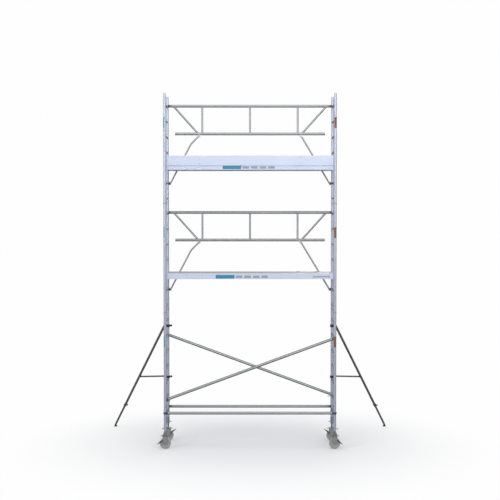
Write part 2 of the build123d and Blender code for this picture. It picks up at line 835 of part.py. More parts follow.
def make_fork(x, y, facing):
    """The pressed fork with its swivel race and lever ears, and the axle bolt."""
    pivot_x = x + facing * brake_pivot_offset
    lock_x = x + facing * lock_pivot_offset
    plate = block((x - 46, y - cheek_outer, fork_top_height - fork_plate),
                  (x + 46, y + cheek_outer, fork_top_height))
    race = rod((x, y, fork_top_height - 1), (x, y, race_top), 64.0)
    kingpin_bore = rod((x, y, fork_top_height - 2 * fork_plate), (x, y, race_top + 1),
                       kingpin_diameter + 2 * running_clearance)
    axle_bore = rod((x, y - 60, wheel_radius), (x, y + 60, wheel_radius), axle_diameter)
    pedal_bore = rod((pivot_x, y - 60, brake_pivot_height),
                     (pivot_x, y + 60, brake_pivot_height),
                     pedal_pin_diameter + 2 * running_clearance)
    lock_bore = rod((lock_x, y - 30, lock_pivot_height), (lock_x, y + 30, lock_pivot_height),
                    lock_pin_diameter + 2 * running_clearance)
    with BuildPart() as fork:
        for hand in (-1, 1):
            middle = y + hand * (cheek_gap + cheek_thickness / 2)
            with BuildSketch(upright_plane(middle)):
                with Locations((x, wheel_radius)):
                    Circle(24)
                with Locations((pivot_x, brake_pivot_height)):
                    Circle(13)
                with Locations((x, fork_top_height - 17)):
                    Rectangle(92, 34)
                make_hull()
            extrude(amount=cheek_thickness / 2, both=True)
            ear_middle = y + hand * (lock_lever_half_width + joint_gap + pedal_plate / 2)
            with BuildSketch(upright_plane(ear_middle)):
                with Locations((lock_x, lock_pivot_height)):
                    Circle(8)
                with Locations((lock_x, fork_top_height)):
                    Rectangle(16, 2)
                make_hull()
            extrude(amount=pedal_plate / 2, both=True)
        add([plate, race])
        add([kingpin_bore, axle_bore, pedal_bore, lock_bore], mode=Mode.SUBTRACT)
    shaft = rod((x, y - cheek_outer - 1, wheel_radius), (x, y + cheek_outer + 1, wheel_radius),
                axle_diameter)
    with BuildPart() as axle:
        add(shaft)
        for hand in (-1, 1):
            with BuildSketch(upright_plane(y + hand * (cheek_outer + bolt_head / 2))):
                with Locations((x, wheel_radius)):
                    RegularPolygon(bolt_head_radius, 6)
            extrude(amount=bolt_head / 2, both=True)
    return [fork.part, axle.part]


def make_spindle(x, y):
    """Kingpin, flange, hexagon and hollow threaded stem, as one turned piece."""
    kingpin = rod((x, y, fork_top_height - fork_plate), (x, y, flange_low + 1),
                  kingpin_diameter)
    flange = rod((x, y, flange_low), (x, y, hexagon_low), flange_diameter)
    stem = rod((x, y, stem_low - 1), (x, y, stem_top_height), stem_diameter)
    bore = rod((x, y, stem_low), (x, y, stem_top_height), stem_bore)
    with BuildPart() as spindle:
        with BuildSketch(Plane.XY.offset(hexagon_low)):
            with Locations((x, y)):
                RegularPolygon(hexagon_radius, 6)
        extrude(amount=hexagon_height)
        add([kingpin, flange, stem])
        add(bore, mode=Mode.SUBTRACT)
    return spindle.part


def make_nut(x, y, facing):
    """The long levelling nut under the post, with its shoulder and handle."""
    top = frame_base_height - claw_gap
    barrel = rod((x, y, nut_bottom_height), (x, y, top), nut_diameter)
    shoulder = rod((x, y, top - 1), (x, y, top + nut_shoulder), 2 * (post_bore - joint_gap))
    handle = rod((x + facing * (nut_diameter / 2 - 3), y, nut_handle_height),
                 (x + facing * nut_handle_reach, y, nut_handle_height), nut_handle_diameter)
    thread = rod((x, y, nut_bottom_height - 1), (x, y, top + nut_shoulder + 1),
                 stem_diameter + 2 * nut_clearance)
    return fused(barrel, shoulder, handle, cut=(thread,))


def make_brake_pedal(x, y, facing, angle):
    """Two arms outside the fork cheeks joined by a tread plate beyond the wheel."""
    pivot_x = x + facing * brake_pivot_offset
    pivot_z = brake_pivot_height

    def along(reach):
        return (pivot_x + facing * reach * cos(radians(angle)),
                pivot_z + reach * sin(radians(angle)))

    inner = cheek_outer + pedal_gap
    outer = inner + pedal_plate
    tilt = angle if facing > 0 else 180 - angle
    with BuildPart() as pedal:
        for hand in (-1, 1):
            with BuildSketch(upright_plane(y + hand * (inner + outer) / 2)):
                with Locations((pivot_x, pivot_z)):
                    Circle(11)
                with Locations(along(paddle_start + 3)):
                    Circle(6)
                make_hull()
            extrude(amount=pedal_plate / 2, both=True)
            with BuildSketch(upright_plane(y + hand * (cheek_gap + 0.3 + outer) / 2)):
                with Locations((pivot_x, pivot_z)):
                    Circle(pedal_pin_diameter / 2)
            extrude(amount=(outer - cheek_gap - 0.3) / 2, both=True)
        middle_x, middle_z = along((paddle_start + paddle_end) / 2)
        with BuildSketch(upright_plane(y)):
            with Locations(Location((middle_x, middle_z, 0), (0, 0, tilt))):
                Rectangle(paddle_end - paddle_start, paddle_thickness)
        extrude(amount=outer, both=True)
    return pedal.part


def make_swivel_lock(x, y, facing):
    """The small lever over the fork that locks its swivel."""
    lock_x = x + facing * lock_pivot_offset
    ear_outer = lock_lever_half_width + joint_gap + pedal_plate
    pin = rod((lock_x, y - ear_outer, lock_pivot_height),
              (lock_x, y + ear_outer, lock_pivot_height), lock_pin_diameter)
    pivot = (lock_x, lock_pivot_height)
    tread_end = (lock_x + facing * lock_tread_reach, lock_pivot_height - lock_tread_drop)
    nose_end = (lock_x - facing * lock_nose_reach, lock_pivot_height + lock_nose_rise)
    hub = rod((lock_x, y - lock_lever_half_width, lock_pivot_height),
              (lock_x, y + lock_lever_half_width, lock_pivot_height), lock_hub_diameter)
    tread = round_ended_bar(upright_plane(y), pivot, tread_end, lock_bar_width,
                            lock_lever_half_width)
    nose = round_ended_bar(upright_plane(y), pivot, nose_end, lock_bar_width,
                           lock_lever_half_width)
    return fused(hub, tread, nose, pin)


def write_castors():
    for face_name, face in face_sign.items():
        for side_name, side in side_sign.items():
            x = side * post_x
            y = face * post_y
            facing = -face * side
            angle = brake_down_angle if face < 0 else brake_down_angle + brake_swing
            corner = f"{face_name}_{side_name}"
            save(f"castor_wheel_{corner}", *make_wheel(x, y))
            save(f"castor_fork_{corner}", *make_fork(x, y, facing))
            save(f"castor_spindle_{corner}", make_spindle(x, y))
            save(f"levelling_nut_{corner}", make_nut(x, y, facing))
            save(f"brake_pedal_{corner}", make_brake_pedal(x, y, facing, angle))
            save(f"swivel_lock_{corner}", make_swivel_lock(x, y, facing))


# ---- stabilisers -----------------------------------------------------------------

clamp_wall = 11.0
clamp_height_upper = 50.0
clamp_height_lower = 42.0
clamp_outer = post_radius + claw_gap + clamp_wall
lug_thickness = 16.0
lug_half_height = 15.0
ear_thickness = 5.0
tube_head_setback = 34.0
arm_pivot_reach = 66.0
gusset_reach = 898.0
gusset_height = 1098.0
arm_plug = 18.0
knob_diameter = 36.0
knob_length = 24.0
lock_collar_length = 44.0
lock_collar_wall = 6.0
inner_tube_setback = 32.0
eye_radius = 12.0
foot_pin_diameter = 10.0
foot_pad_height = 20.0


def bearing_direction(side):
    """The level unit vector from a rear post towards its stabiliser's foot."""
    angle = radians(stabiliser_bearing)
    return Vector(side * cos(angle), sin(angle), 0)


def bearing_plane(side, offset=0.0):
    """An upright plane through the post axis: own x is the reach, own y the height."""
    out = bearing_direction(side)
    across = out.cross(Vector(0, 0, 1))
    origin = Vector(side * post_x, post_y, 0) + across * offset
    return Plane(origin=origin, x_dir=out, z_dir=across)


def reach_at(height):
    """The reach of the sloping tube's axis from the post axis at a height."""
    slope = (stabiliser_foot_reach - stabiliser_pivot_reach) / stabiliser_clamp_height
    return stabiliser_foot_reach - height * slope


def tube_angle():
    """The tube's steepness above the floor, in degrees."""
    run = stabiliser_foot_reach - stabiliser_pivot_reach
    return degrees(atan2(stabiliser_clamp_height, run))


def slope_point(side, height, along=0.0):
    """A point on the tube axis at a height, moved down the slope by a distance."""
    angle = radians(tube_angle())
    out = bearing_direction(side)
    base = Vector(side * post_x, post_y, height) + out * reach_at(height)
    down = out * cos(angle) - Vector(0, 0, 1) * sin(angle)
    return base + down * along


def ring_clamp(side, height, length, lug_reach):
    """A clamp round the rear post with a lug towards the stabiliser and a hand nut."""
    x = side * post_x
    lug_low = height - lug_half_height
    post_core = rod((x, post_y, height - length), (x, post_y, height + length),
                    2 * (post_radius + claw_gap))
    ring = rod((x, post_y, height - length / 2), (x, post_y, height + length / 2),
               2 * clamp_outer)
    across = bearing_direction(side).cross(Vector(0, 0, 1))
    out = bearing_direction(side)
    nut_start = Vector(x, post_y, height) + across * (clamp_outer - 4) - out * 12
    nut_end = nut_start + across * 18
    bolt = rod(nut_start, nut_end, 12.0)
    knob = rod(nut_end, nut_end + across * knob_length, knob_diameter)
    with BuildPart() as clamp:
        with BuildSketch(bearing_plane(side)):
            with Locations((lug_reach, height)):
                Circle(lug_half_height)
            with Locations(((clamp_outer + lug_reach) / 2 - 4, lug_low + lug_half_height)):
                Rectangle(lug_reach - clamp_outer + 8, 2 * lug_half_height)
        extrude(amount=lug_thickness / 2, both=True)
        add([ring, bolt])
        add(post_core, mode=Mode.SUBTRACT)
    return [clamp.part, knob]


def make_outer_tube(side):
    """The upper tube with its head ears, arm gusset and locking collar."""
    height = stabiliser_clamp_height
    head = slope_point(side, height, tube_head_setback)
    end = slope_point(side, outer_tube_end_height)
    tube = rod(head, end, outer_tube_diameter, outer_tube_wall)
    bore = rod(head, end, outer_tube_diameter - 2 * outer_tube_wall)
    collar_start = slope_point(side, outer_tube_end_height, -lock_collar_length)
    collar = rod(collar_start, end, outer_tube_diameter + 2 * lock_collar_wall)
    across = bearing_direction(side).cross(Vector(0, 0, 1))
    knob_start = slope_point(side, outer_tube_end_height, -lock_collar_length / 2)
    knob_start = knob_start + across * (outer_tube_diameter / 2)
    screw = rod(knob_start, knob_start + across * 16, 12.0)
    knob = rod(knob_start + across * 16, knob_start + across * 36, 30.0)
    head_plane_x = reach_at(height)
    angle = -tube_angle()
    with BuildPart() as upper:
        for hand in (-1, 1):
            middle = hand * (lug_thickness / 2 + joint_gap + ear_thickness / 2)
            with BuildSketch(bearing_plane(side, middle)):
                with Locations((head_plane_x, height)):
                    Circle(14)
                step = tube_head_setback + 30
                foot_x = head_plane_x + step * cos(radians(tube_angle()))
                foot_z = height - step * sin(radians(tube_angle()))
                with Locations(Location((foot_x, foot_z, 0), (0, 0, angle))):
                    Rectangle(20, 30)
                make_hull()
            extrude(amount=ear_thickness / 2, both=True)
            with BuildSketch(bearing_plane(side, middle)):
                with Locations((gusset_reach, gusset_height)):
                    Circle(13)
                tube_x = reach_at(gusset_height)
                with Locations(Location((tube_x, gusset_height, 0), (0, 0, angle))):
                    Rectangle(80, 20)
                make_hull()
            extrude(amount=ear_thickness / 2, both=True)
        add([tube, collar, screw])
        add(bore, mode=Mode.SUBTRACT)
    return [upper.part, knob]


def make_arm(side):
    """The lower arm between the lower clamp's lug and the tube's gusset."""
    out = bearing_direction(side)
    foot = Vector(side * post_x, post_y, 0)
    near = foot + out * (arm_pivot_reach + 24) + Vector(0, 0, stabiliser_arm_height)
    far = foot + out * (gusset_reach - 22) + Vector(0, 0, gusset_height)
    along = (far - near).normalized()
    tube = rod(near, far, arm_diameter, strut_wall)
    near_plug = rod(near, near + along * arm_plug, arm_diameter)
    far_plug = rod(far - along * arm_plug, far, arm_diameter)
    with BuildPart() as eyes:
        with BuildSketch(bearing_plane(side)):
            with Locations((gusset_reach, gusset_height)):
                Circle(11)
            with Locations((gusset_reach - 24, gusset_height)):
                Rectangle(16, 20)
            make_hull()
        extrude(amount=lug_thickness / 2, both=True)
        for hand in (-1, 1):
            middle = hand * (lug_thickness / 2 + joint_gap + ear_thickness / 2)
            with BuildSketch(bearing_plane(side, middle)):
                with Locations((arm_pivot_reach, stabiliser_arm_height)):
                    Circle(12)
                with Locations((arm_pivot_reach + 28, stabiliser_arm_height)):
                    Rectangle(16, 20)
                make_hull()
            extrude(amount=ear_thickness / 2, both=True)
        add([tube, near_plug, far_plug])
    return eyes.part


def make_inner_leg(side):
    """The telescopic tube and the eye that its foot tilts on."""
    top = slope_point(side, outer_tube_end_height, -inner_tube_overlap)
    pivot_x = reach_at(foot_pivot_height)
    end = slope_point(side, foot_pivot_height, -inner_tube_setback)
    tube = rod(top, end, inner_tube_diameter, inner_tube_wall)
    angle = tube_angle()
    cap = rod(slope_point(side, foot_pivot_height, -inner_tube_setback - 20), end,
              inner_tube_diameter)
    with BuildPart() as leg:
        with BuildSketch(bearing_plane(side)):
            with Locations((pivot_x, foot_pivot_height)):
                Circle(eye_radius)
            root_x = pivot_x - (inner_tube_setback + 4) * cos(radians(angle))
            root_z = foot_pivot_height + (inner_tube_setback + 4) * sin(radians(angle))
            with Locations(Location((root_x, root_z, 0), (0, 0, -angle))):
                Rectangle(8, 26)
            make_hull()
        extrude(amount=lug_thickness / 2, both=True)
        add([tube, cap])
        with BuildSketch(bearing_plane(side)):
            with Locations((pivot_x, foot_pivot_height)):
                Circle(foot_pin_diameter / 2 + running_clearance)
        extrude(amount=lug_thickness, both=True, mode=Mode.SUBTRACT)
    return leg.part


def make_foot(side):
    """A rubber pad with two ears and the pin that it tilts on."""
    centre = Vector(side * post_x, post_y, 0)
    centre = centre + bearing_direction(side) * reach_at(foot_pivot_height)
    pivot_x = reach_at(foot_pivot_height)
    with BuildPart() as foot:
        with BuildSketch(Plane.XY):
            with Locations((centre.X, centre.Y)):
                Circle(foot_diameter / 2)
        extrude(amount=foot_pad_height * 0.6)
        with BuildSketch(Plane.XY.offset(foot_pad_height * 0.6)):
            with Locations((centre.X, centre.Y)):
                Circle(foot_diameter / 2)
        extrude(amount=foot_pad_height * 0.4, taper=45)
        for hand in (-1, 1):
            middle = hand * (lug_thickness / 2 + 0.6 + ear_thickness / 2)
            with BuildSketch(bearing_plane(side, middle)):
                with Locations((pivot_x, foot_pivot_height)):
                    Circle(eye_radius)
                with Locations((pivot_x, foot_pad_height - 3)):
                    Rectangle(32, 4)
                make_hull()
            extrude(amount=ear_thickness / 2, both=True)
        with BuildSketch(bearing_plane(side)):
            with Locations((pivot_x, foot_pivot_height)):
                Circle(foot_pin_diameter / 2)
        extrude(amount=lug_thickness / 2 + 0.6 + ear_thickness, both=True)
    return foot.part


def write_stabilisers():
    for side_name, side in side_sign.items():
        upper = ring_clamp(side, stabiliser_clamp_height, clamp_height_upper,
                           stabiliser_pivot_reach)
        lower = ring_clamp(side, stabiliser_arm_height, clamp_height_lower,
                           arm_pivot_reach)
        save(f"stabiliser_clamps_{side_name}", *upper, *lower)
        save(f"stabiliser_tube_{side_name}", *make_outer_tube(side))
        save(f"stabiliser_arm_{side_name}", make_arm(side))
        save(f"stabiliser_leg_{side_name}", make_inner_leg(side))
        save(f"stabiliser_foot_{side_name}", make_foot(side))


os.makedirs("parts", exist_ok=True)
write_side_frames()
write_clips()
write_braces()
write_guardrails()
write_platforms()
write_toe_boards()
write_castors()
write_stabilisers()
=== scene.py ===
import json
import math

import bmesh
import bpy
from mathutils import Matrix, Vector


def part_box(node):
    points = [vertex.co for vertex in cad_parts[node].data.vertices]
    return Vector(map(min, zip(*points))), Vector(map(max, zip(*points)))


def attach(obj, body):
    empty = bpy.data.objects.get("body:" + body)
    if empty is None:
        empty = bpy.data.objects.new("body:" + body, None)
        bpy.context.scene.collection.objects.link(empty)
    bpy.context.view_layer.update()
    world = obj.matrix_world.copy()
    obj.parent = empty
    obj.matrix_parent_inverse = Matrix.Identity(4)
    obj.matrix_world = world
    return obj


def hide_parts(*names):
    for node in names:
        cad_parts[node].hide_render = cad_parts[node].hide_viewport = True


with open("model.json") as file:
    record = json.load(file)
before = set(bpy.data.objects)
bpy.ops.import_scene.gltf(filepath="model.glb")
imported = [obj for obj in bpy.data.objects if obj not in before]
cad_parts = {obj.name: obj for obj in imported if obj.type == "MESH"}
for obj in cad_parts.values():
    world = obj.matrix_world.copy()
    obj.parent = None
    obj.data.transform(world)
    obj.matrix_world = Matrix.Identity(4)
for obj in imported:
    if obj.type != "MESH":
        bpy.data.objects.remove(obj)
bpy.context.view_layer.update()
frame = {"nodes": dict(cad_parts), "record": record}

# ---- sizes of the tower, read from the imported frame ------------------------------

SIDES = {"left": -1, "right": 1}
FACES = {"front": -1, "rear": 1}
LEVELS = ("lower", "middle", "upper")
RUNGS_PER_FRAME = 7
RUNG_PITCH = 0.280
RUNG_RADIUS = 0.016
POST_RADIUS = 0.0254
WHEEL_RADIUS = 0.100
WHEEL_CORE_RADIUS = 0.078
SWIVEL_FLANGE = (0.2264, 0.2330)
HANDLE_HEIGHT = 0.360


def middle_of(node):
    """The middle of a node's box."""
    low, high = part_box(node)
    return (Vector(low) + Vector(high)) / 2


POST_X = middle_of("side_frame_right_lower").x
POST_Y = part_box("side_frame_right_lower")[1][1] - POST_RADIUS
FRAME_BASES = [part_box(f"side_frame_left_{level}")[0][2] for level in LEVELS]
BEAM_FACE_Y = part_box("platform_frame_lower")[0][1]
BEAM_TOPS = {level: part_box(f"platform_frame_{level}")[1][2] for level in ("lower", "upper")}
BEAM_FOOTS = {level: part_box(f"platform_frame_{level}")[0][2] for level in ("lower", "upper")}


# ---- shared shader groups --------------------------------------------------------


def new_group(name, inputs, outputs):
    """An empty shader group with named inputs and outputs, and its two end nodes."""
    group = bpy.data.node_groups.new(name, "ShaderNodeTree")
    for label, kind, value in inputs:
        socket = group.interface.new_socket(label, in_out="INPUT", socket_type=kind)
        if value is not None:
            socket.default_value = value
    for label, kind in outputs:
        group.interface.new_socket(label, in_out="OUTPUT", socket_type=kind)
    return group, group.nodes.new("NodeGroupInput"), group.nodes.new("NodeGroupOutput")


def make_handling_marks():
    """Broad cloudy variation and fine scuffs over a plain colour."""
    group, enter, leave = new_group(
        "handling_marks",
        [("Place", "NodeSocketVector", None), ("Colour", "NodeSocketColor", (0.8, 0.8, 0.8, 1)),
         ("Mark Colour", "NodeSocketColor", (0.3, 0.3, 0.3, 1)),
         ("Cloud Scale", "NodeSocketFloat", 3.0), ("Scuff Scale", "NodeSocketFloat", 60.0),
         ("Cloud Amount", "NodeSocketFloat", 0.15), ("Scuff Amount", "NodeSocketFloat", 0.3),
         ("Roughness Low", "NodeSocketFloat", 0.3), ("Roughness High", "NodeSocketFloat", 0.5)],
        [("Colour", "NodeSocketColor"), ("Roughness", "NodeSocketFloat")])
    nodes, links = group.nodes, group.links
    cloud = nodes.new("ShaderNodeTexNoise")
    scuff = nodes.new("ShaderNodeTexNoise")
    cloud.inputs["Detail"].default_value = 3.0
    scuff.inputs["Detail"].default_value = 6.0
    for noise, scale in ((cloud, "Cloud Scale"), (scuff, "Scuff Scale")):
        links.new(enter.outputs["Place"], noise.inputs["Vector"])
        links.new(enter.outputs[scale], noise.inputs["Scale"])
    sharp = nodes.new("ShaderNodeMapRange")
    sharp.inputs["From Min"].default_value = 0.56
    sharp.inputs["From Max"].default_value = 0.74
    links.new(scuff.outputs["Fac"], sharp.inputs["Value"])
    strengths = []
    for source, amount in ((cloud.outputs["Fac"], "Cloud Amount"),
                           (sharp.outputs["Result"], "Scuff Amount")):
        scaled = nodes.new("ShaderNodeMath")
        scaled.operation = "MULTIPLY"
        links.new(source, scaled.inputs[0])
        links.new(enter.outputs[amount], scaled.inputs[1])
        strengths.append(scaled.outputs[0])
    total = nodes.new("ShaderNodeMath")
    total.operation = "ADD"
    total.use_clamp = True
    links.new(strengths[0], total.inputs[0])
    links.new(strengths[1], total.inputs[1])
    blend = nodes.new("ShaderNodeMix")
    blend.data_type = "RGBA"
    links.new(total.outputs[0], blend.inputs["Factor"])
    links.new(enter.outputs["Colour"], blend.inputs[6])
    links.new(enter.outputs["Mark Colour"], blend.inputs[7])
    links.new(blend.outputs[2], leave.inputs["Colour"])
    rough = nodes.new("ShaderNodeMapRange")
    links.new(cloud.outputs["Fac"], rough.inputs["Value"])
    links.new(enter.outputs["Roughness Low"], rough.inputs["To Min"])
    links.new(enter.outputs["Roughness High"], rough.inputs["To Max"])
    links.new(rough.outputs["Result"], leave.inputs["Roughness"])
    return group


def make_drawn_grain():
    """Fine lines along the length of a drawn or extruded section, as a normal."""
    group, enter, leave = new_group(
        "drawn_grain",
        [("Place", "NodeSocketVector", None), ("Stretch", "NodeSocketVector", (1, 1, 1)),
         ("Depth", "NodeSocketFloat", 0.1)],
        [("Normal", "NodeSocketVector")])
    nodes, links = group.nodes, group.links
    stretch = nodes.new("ShaderNodeVectorMath")
    stretch.operation = "MULTIPLY"
    links.new(enter.outputs["Place"], stretch.inputs[0])
    links.new(enter.outputs["Stretch"], stretch.inputs[1])
    lines = nodes.new("ShaderNodeTexNoise")
    lines.inputs["Scale"].default_value = 1.0
    lines.inputs["Detail"].default_value = 4.0
    links.new(stretch.outputs[0], lines.inputs["Vector"])
    bump = nodes.new("ShaderNodeBump")
    bump.inputs["Distance"].default_value = 0.0004
    links.new(enter.outputs["Depth"], bump.inputs["Strength"])
    links.new(lines.outputs["Fac"], bump.inputs["Height"])
    links.new(bump.outputs["Normal"], leave.inputs["Normal"])
    return group


HANDLING_MARKS = make_handling_marks()
DRAWN_GRAIN = make_drawn_grain()

# stretches that leave the lines running along one axis of the tower
UPRIGHT_GRAIN = (900, 900, 12)
BAY_GRAIN = (12, 900, 900)
ROUND_GRAIN = (300, 300, 300)


def finish_material(name, colour, mark, metallic, roughness, grain, depth,
                    cloud=(3.0, 0.12), scuff=(60.0, 0.2), coat=0.0, rim=None):
    """A material from the two shared groups, with its own colours and values.

    A rim is (colour, strength): painted shade that darkens a round tube's colour towards its
    outline.
    """
    material = bpy.data.materials.new(name)
    material.use_nodes = True
    nodes, links = material.node_tree.nodes, material.node_tree.links
    shader = nodes["Principled BSDF"]
    shader.inputs["Metallic"].default_value = metallic
    shader.inputs["Coat Weight"].default_value = coat
    place = nodes.new("ShaderNodeTexCoord").outputs["Object"]
    marks = nodes.new("ShaderNodeGroup")
    marks.node_tree = HANDLING_MARKS
    links.new(place, marks.inputs["Place"])
    marks.inputs["Colour"].default_value = (*colour, 1)
    marks.inputs["Mark Colour"].default_value = (*mark, 1)
    marks.inputs["Cloud Scale"].default_value, marks.inputs["Cloud Amount"].default_value = cloud
    marks.inputs["Scuff Scale"].default_value, marks.inputs["Scuff Amount"].default_value = scuff
    marks.inputs["Roughness Low"].default_value = roughness[0]
    marks.inputs["Roughness High"].default_value = roughness[1]
    links.new(marks.outputs["Colour"], shader.inputs["Base Color"])
    links.new(marks.outputs["Roughness"], shader.inputs["Roughness"])
    # painted shade: the base colour darkens towards the tube's outline as the facing ratio falls
    if rim:
        outline = nodes.new("ShaderNodeLayerWeight")
        outline.inputs["Blend"].default_value = 0.5
        reach = nodes.new("ShaderNodeMapRange")
        reach.inputs["From Min"].default_value = 0.06
        reach.inputs["From Max"].default_value = 0.50
        reach.inputs["To Max"].default_value = rim[1]
        links.new(outline.outputs["Facing"], reach.inputs["Value"])
        shade = nodes.new("ShaderNodeMix")
        shade.data_type = "RGBA"
        shade.inputs[7].default_value = (*rim[0], 1)
        links.new(reach.outputs["Result"], shade.inputs["Factor"])
        links.new(marks.outputs["Colour"], shade.inputs[6])
        links.new(shade.outputs[2], shader.inputs["Base Color"])
    lines = nodes.new("ShaderNodeGroup")
    lines.node_tree = DRAWN_GRAIN
    links.new(place, lines.inputs["Place"])
    lines.inputs["Stretch"].default_value = grain
    lines.inputs["Depth"].default_value = depth
    links.new(lines.outputs["Normal"], shader.inputs["Normal"])
    return material


def colour_zone(material, low, high, colour):
    """Gives a material a second colour inside a box mirrored over X and Y, used both for a
    part's own colour and for painted shade.
    """
    nodes, links = material.node_tree.nodes, material.node_tree.links
    shader = nodes["Principled BSDF"]
    place = nodes.new("ShaderNodeTexCoord").outputs["Object"]
    mirrored = nodes.new("ShaderNodeVectorMath")
    mirrored.operation = "ABSOLUTE"
    links.new(place, mirrored.inputs[0])
    middle = nodes.new("ShaderNodeVectorMath")
    middle.operation = "SUBTRACT"
    middle.inputs[1].default_value = [(a + b) / 2 for a, b in zip(low, high)]
    links.new(mirrored.outputs[0], middle.inputs[0])
    size = nodes.new("ShaderNodeVectorMath")
    size.operation = "DIVIDE"
    size.inputs[1].default_value = [(b - a) / 2 for a, b in zip(low, high)]
    links.new(middle.outputs[0], size.inputs[0])
    extent = nodes.new("ShaderNodeVectorMath")
    extent.operation = "ABSOLUTE"
    links.new(size.outputs[0], extent.inputs[0])
    split = nodes.new("ShaderNodeSeparateXYZ")
    links.new(extent.outputs[0], split.inputs[0])
    wider = nodes.new("ShaderNodeMath")
    wider.operation = "MAXIMUM"
    links.new(split.outputs["X"], wider.inputs[0])
    links.new(split.outputs["Y"], wider.inputs[1])
    widest = nodes.new("ShaderNodeMath")
    widest.operation = "MAXIMUM"
    links.new(wider.outputs[0], widest.inputs[0])
    links.new(split.outputs["Z"], widest.inputs[1])
    inside = nodes.new("ShaderNodeMath")
    inside.operation = "LESS_THAN"
    inside.inputs[1].default_value = 1.0
    links.new(widest.outputs[0], inside.inputs[0])
    choose = nodes.new("ShaderNodeMix")
    choose.data_type = "RGBA"
    choose.inputs[7].default_value = (*colour, 1)
    links.new(inside.outputs[0], choose.inputs["Factor"])
    links.new(shader.inputs["Base Color"].links[0].from_socket, choose.inputs[6])
    links.new(choose.outputs[2], shader.inputs["Base Color"])


def anti_slip_plywood():
    """Dark film-faced plywood: a fine raised mesh above, pale plies along the edges."""
    material = finish_material("film_faced_plywood", (0.34, 0.29, 0.27), (0.46, 0.42, 0.40),
                               0.0, (0.35, 0.5), ROUND_GRAIN, 0.25,
                               cloud=(4.0, 0.25), scuff=(45.0, 0.3))
    nodes, links = material.node_tree.nodes, material.node_tree.links
    shader = nodes["Principled BSDF"]
    place = nodes.new("ShaderNodeTexCoord").outputs["Object"]
    mesh = nodes.new("ShaderNodeTexVoronoi")
    mesh.inputs["Scale"].default_value = 170.0
    links.new(place, mesh.inputs["Vector"])
    raised = nodes.new("ShaderNodeBump")
    raised.inputs["Distance"].default_value = 0.0007
    raised.inputs["Strength"].default_value = 0.55
    links.new(mesh.outputs["Distance"], raised.inputs["Height"])
    links.new(raised.outputs["Normal"], shader.inputs["Normal"])
    plies = nodes.new("ShaderNodeTexWave")
    plies.bands_direction = "Z"
    plies.inputs["Scale"].default_value = 110.0
    plies.inputs["Distortion"].default_value = 0.6
    links.new(place, plies.inputs["Vector"])
    edge_colour = nodes.new("ShaderNodeMix")
    edge_colour.data_type = "RGBA"
    edge_colour.inputs[6].default_value = (0.50, 0.46, 0.43, 1)
    edge_colour.inputs[7].default_value = (0.64, 0.60, 0.56, 1)
    links.new(plies.outputs["Fac"], edge_colour.inputs["Factor"])
    facing = nodes.new("ShaderNodeNewGeometry")
    split = nodes.new("ShaderNodeSeparateXYZ")
    links.new(facing.outputs["True Normal"], split.inputs[0])
    level = nodes.new("ShaderNodeMath")
    level.operation = "ABSOLUTE"
    links.new(split.outputs["Z"], level.inputs[0])
    surface = nodes.new("ShaderNodeMix")
    surface.data_type = "RGBA"
    links.new(level.outputs[0], surface.inputs["Factor"])
    links.new(edge_colour.outputs[2], surface.inputs[6])
    old = shader.inputs["Base Color"].links[0].from_socket
    links.new(old, surface.inputs[7])
    links.new(surface.outputs[2], shader.inputs["Base Color"])
    return material


def castor_wheel_rubber():
    """Grey tyre round a slightly lighter core, told apart by distance from the axle."""
    material = finish_material("grey_wheel_rubber", (0.40, 0.40, 0.39), (0.40, 0.39, 0.37),
                               0.0, (0.5, 0.7), ROUND_GRAIN, 0.2,
                               cloud=(9.0, 0.2), scuff=(120.0, 0.25))
    nodes, links = material.node_tree.nodes, material.node_tree.links
    shader = nodes["Principled BSDF"]
    place = nodes.new("ShaderNodeTexCoord").outputs["Object"]
    mirrored = nodes.new("ShaderNodeVectorMath")
    mirrored.operation = "ABSOLUTE"
    links.new(place, mirrored.inputs[0])
    axle = nodes.new("ShaderNodeVectorMath")
    axle.operation = "SUBTRACT"
    axle.inputs[1].default_value = (POST_X, 0, WHEEL_RADIUS)
    links.new(mirrored.outputs[0], axle.inputs[0])
    flat = nodes.new("ShaderNodeVectorMath")
    flat.operation = "MULTIPLY"
    flat.inputs[1].default_value = (1, 0, 1)
    links.new(axle.outputs[0], flat.inputs[0])
    radius = nodes.new("ShaderNodeVectorMath")
    radius.operation = "LENGTH"
    links.new(flat.outputs[0], radius.inputs[0])
    core = nodes.new("ShaderNodeMapRange")
    core.inputs["From Min"].default_value = WHEEL_CORE_RADIUS + 0.0005
    core.inputs["From Max"].default_value = WHEEL_CORE_RADIUS - 0.0005
    links.new(radius.outputs["Value"], core.inputs["Value"])
    choose = nodes.new("ShaderNodeMix")
    choose.data_type = "RGBA"
    choose.inputs[7].default_value = (0.46, 0.46, 0.45, 1)
    old = shader.inputs["Base Color"].links[0].from_socket
    links.new(core.outputs["Result"], choose.inputs["Factor"])
    links.new(old, choose.inputs[6])
    links.new(choose.outputs[2], shader.inputs["Base Color"])
    return material


# each rim below is painted shade that darkens the tube towards its outline
FRAME_ALUMINIUM = finish_material("anodised_frame_tube", (0.58, 0.62, 0.74), (0.44, 0.47, 0.56),
                                  0.55, (0.32, 0.46), UPRIGHT_GRAIN, 0.08,
                                  rim=((0.30, 0.32, 0.41), 0.65))
BRACE_ALUMINIUM = finish_material("mill_finish_tube", (0.46, 0.475, 0.50), (0.38, 0.39, 0.41),
                                  0.55, (0.28, 0.44), BAY_GRAIN, 0.1,
                                  rim=((0.10, 0.105, 0.11), 0.95))
BEAM_ALUMINIUM = finish_material("anodised_extrusion", (0.70, 0.77, 0.93), (0.58, 0.63, 0.76),
                                 0.25, (0.38, 0.52), BAY_GRAIN, 0.08)
DARK_TUBE = finish_material("dark_anodised_tube", (0.27, 0.275, 0.28), (0.30, 0.30, 0.31),
                            0.5, (0.32, 0.48), ROUND_GRAIN, 0.1,
                            rim=((0.06, 0.062, 0.068), 0.9))
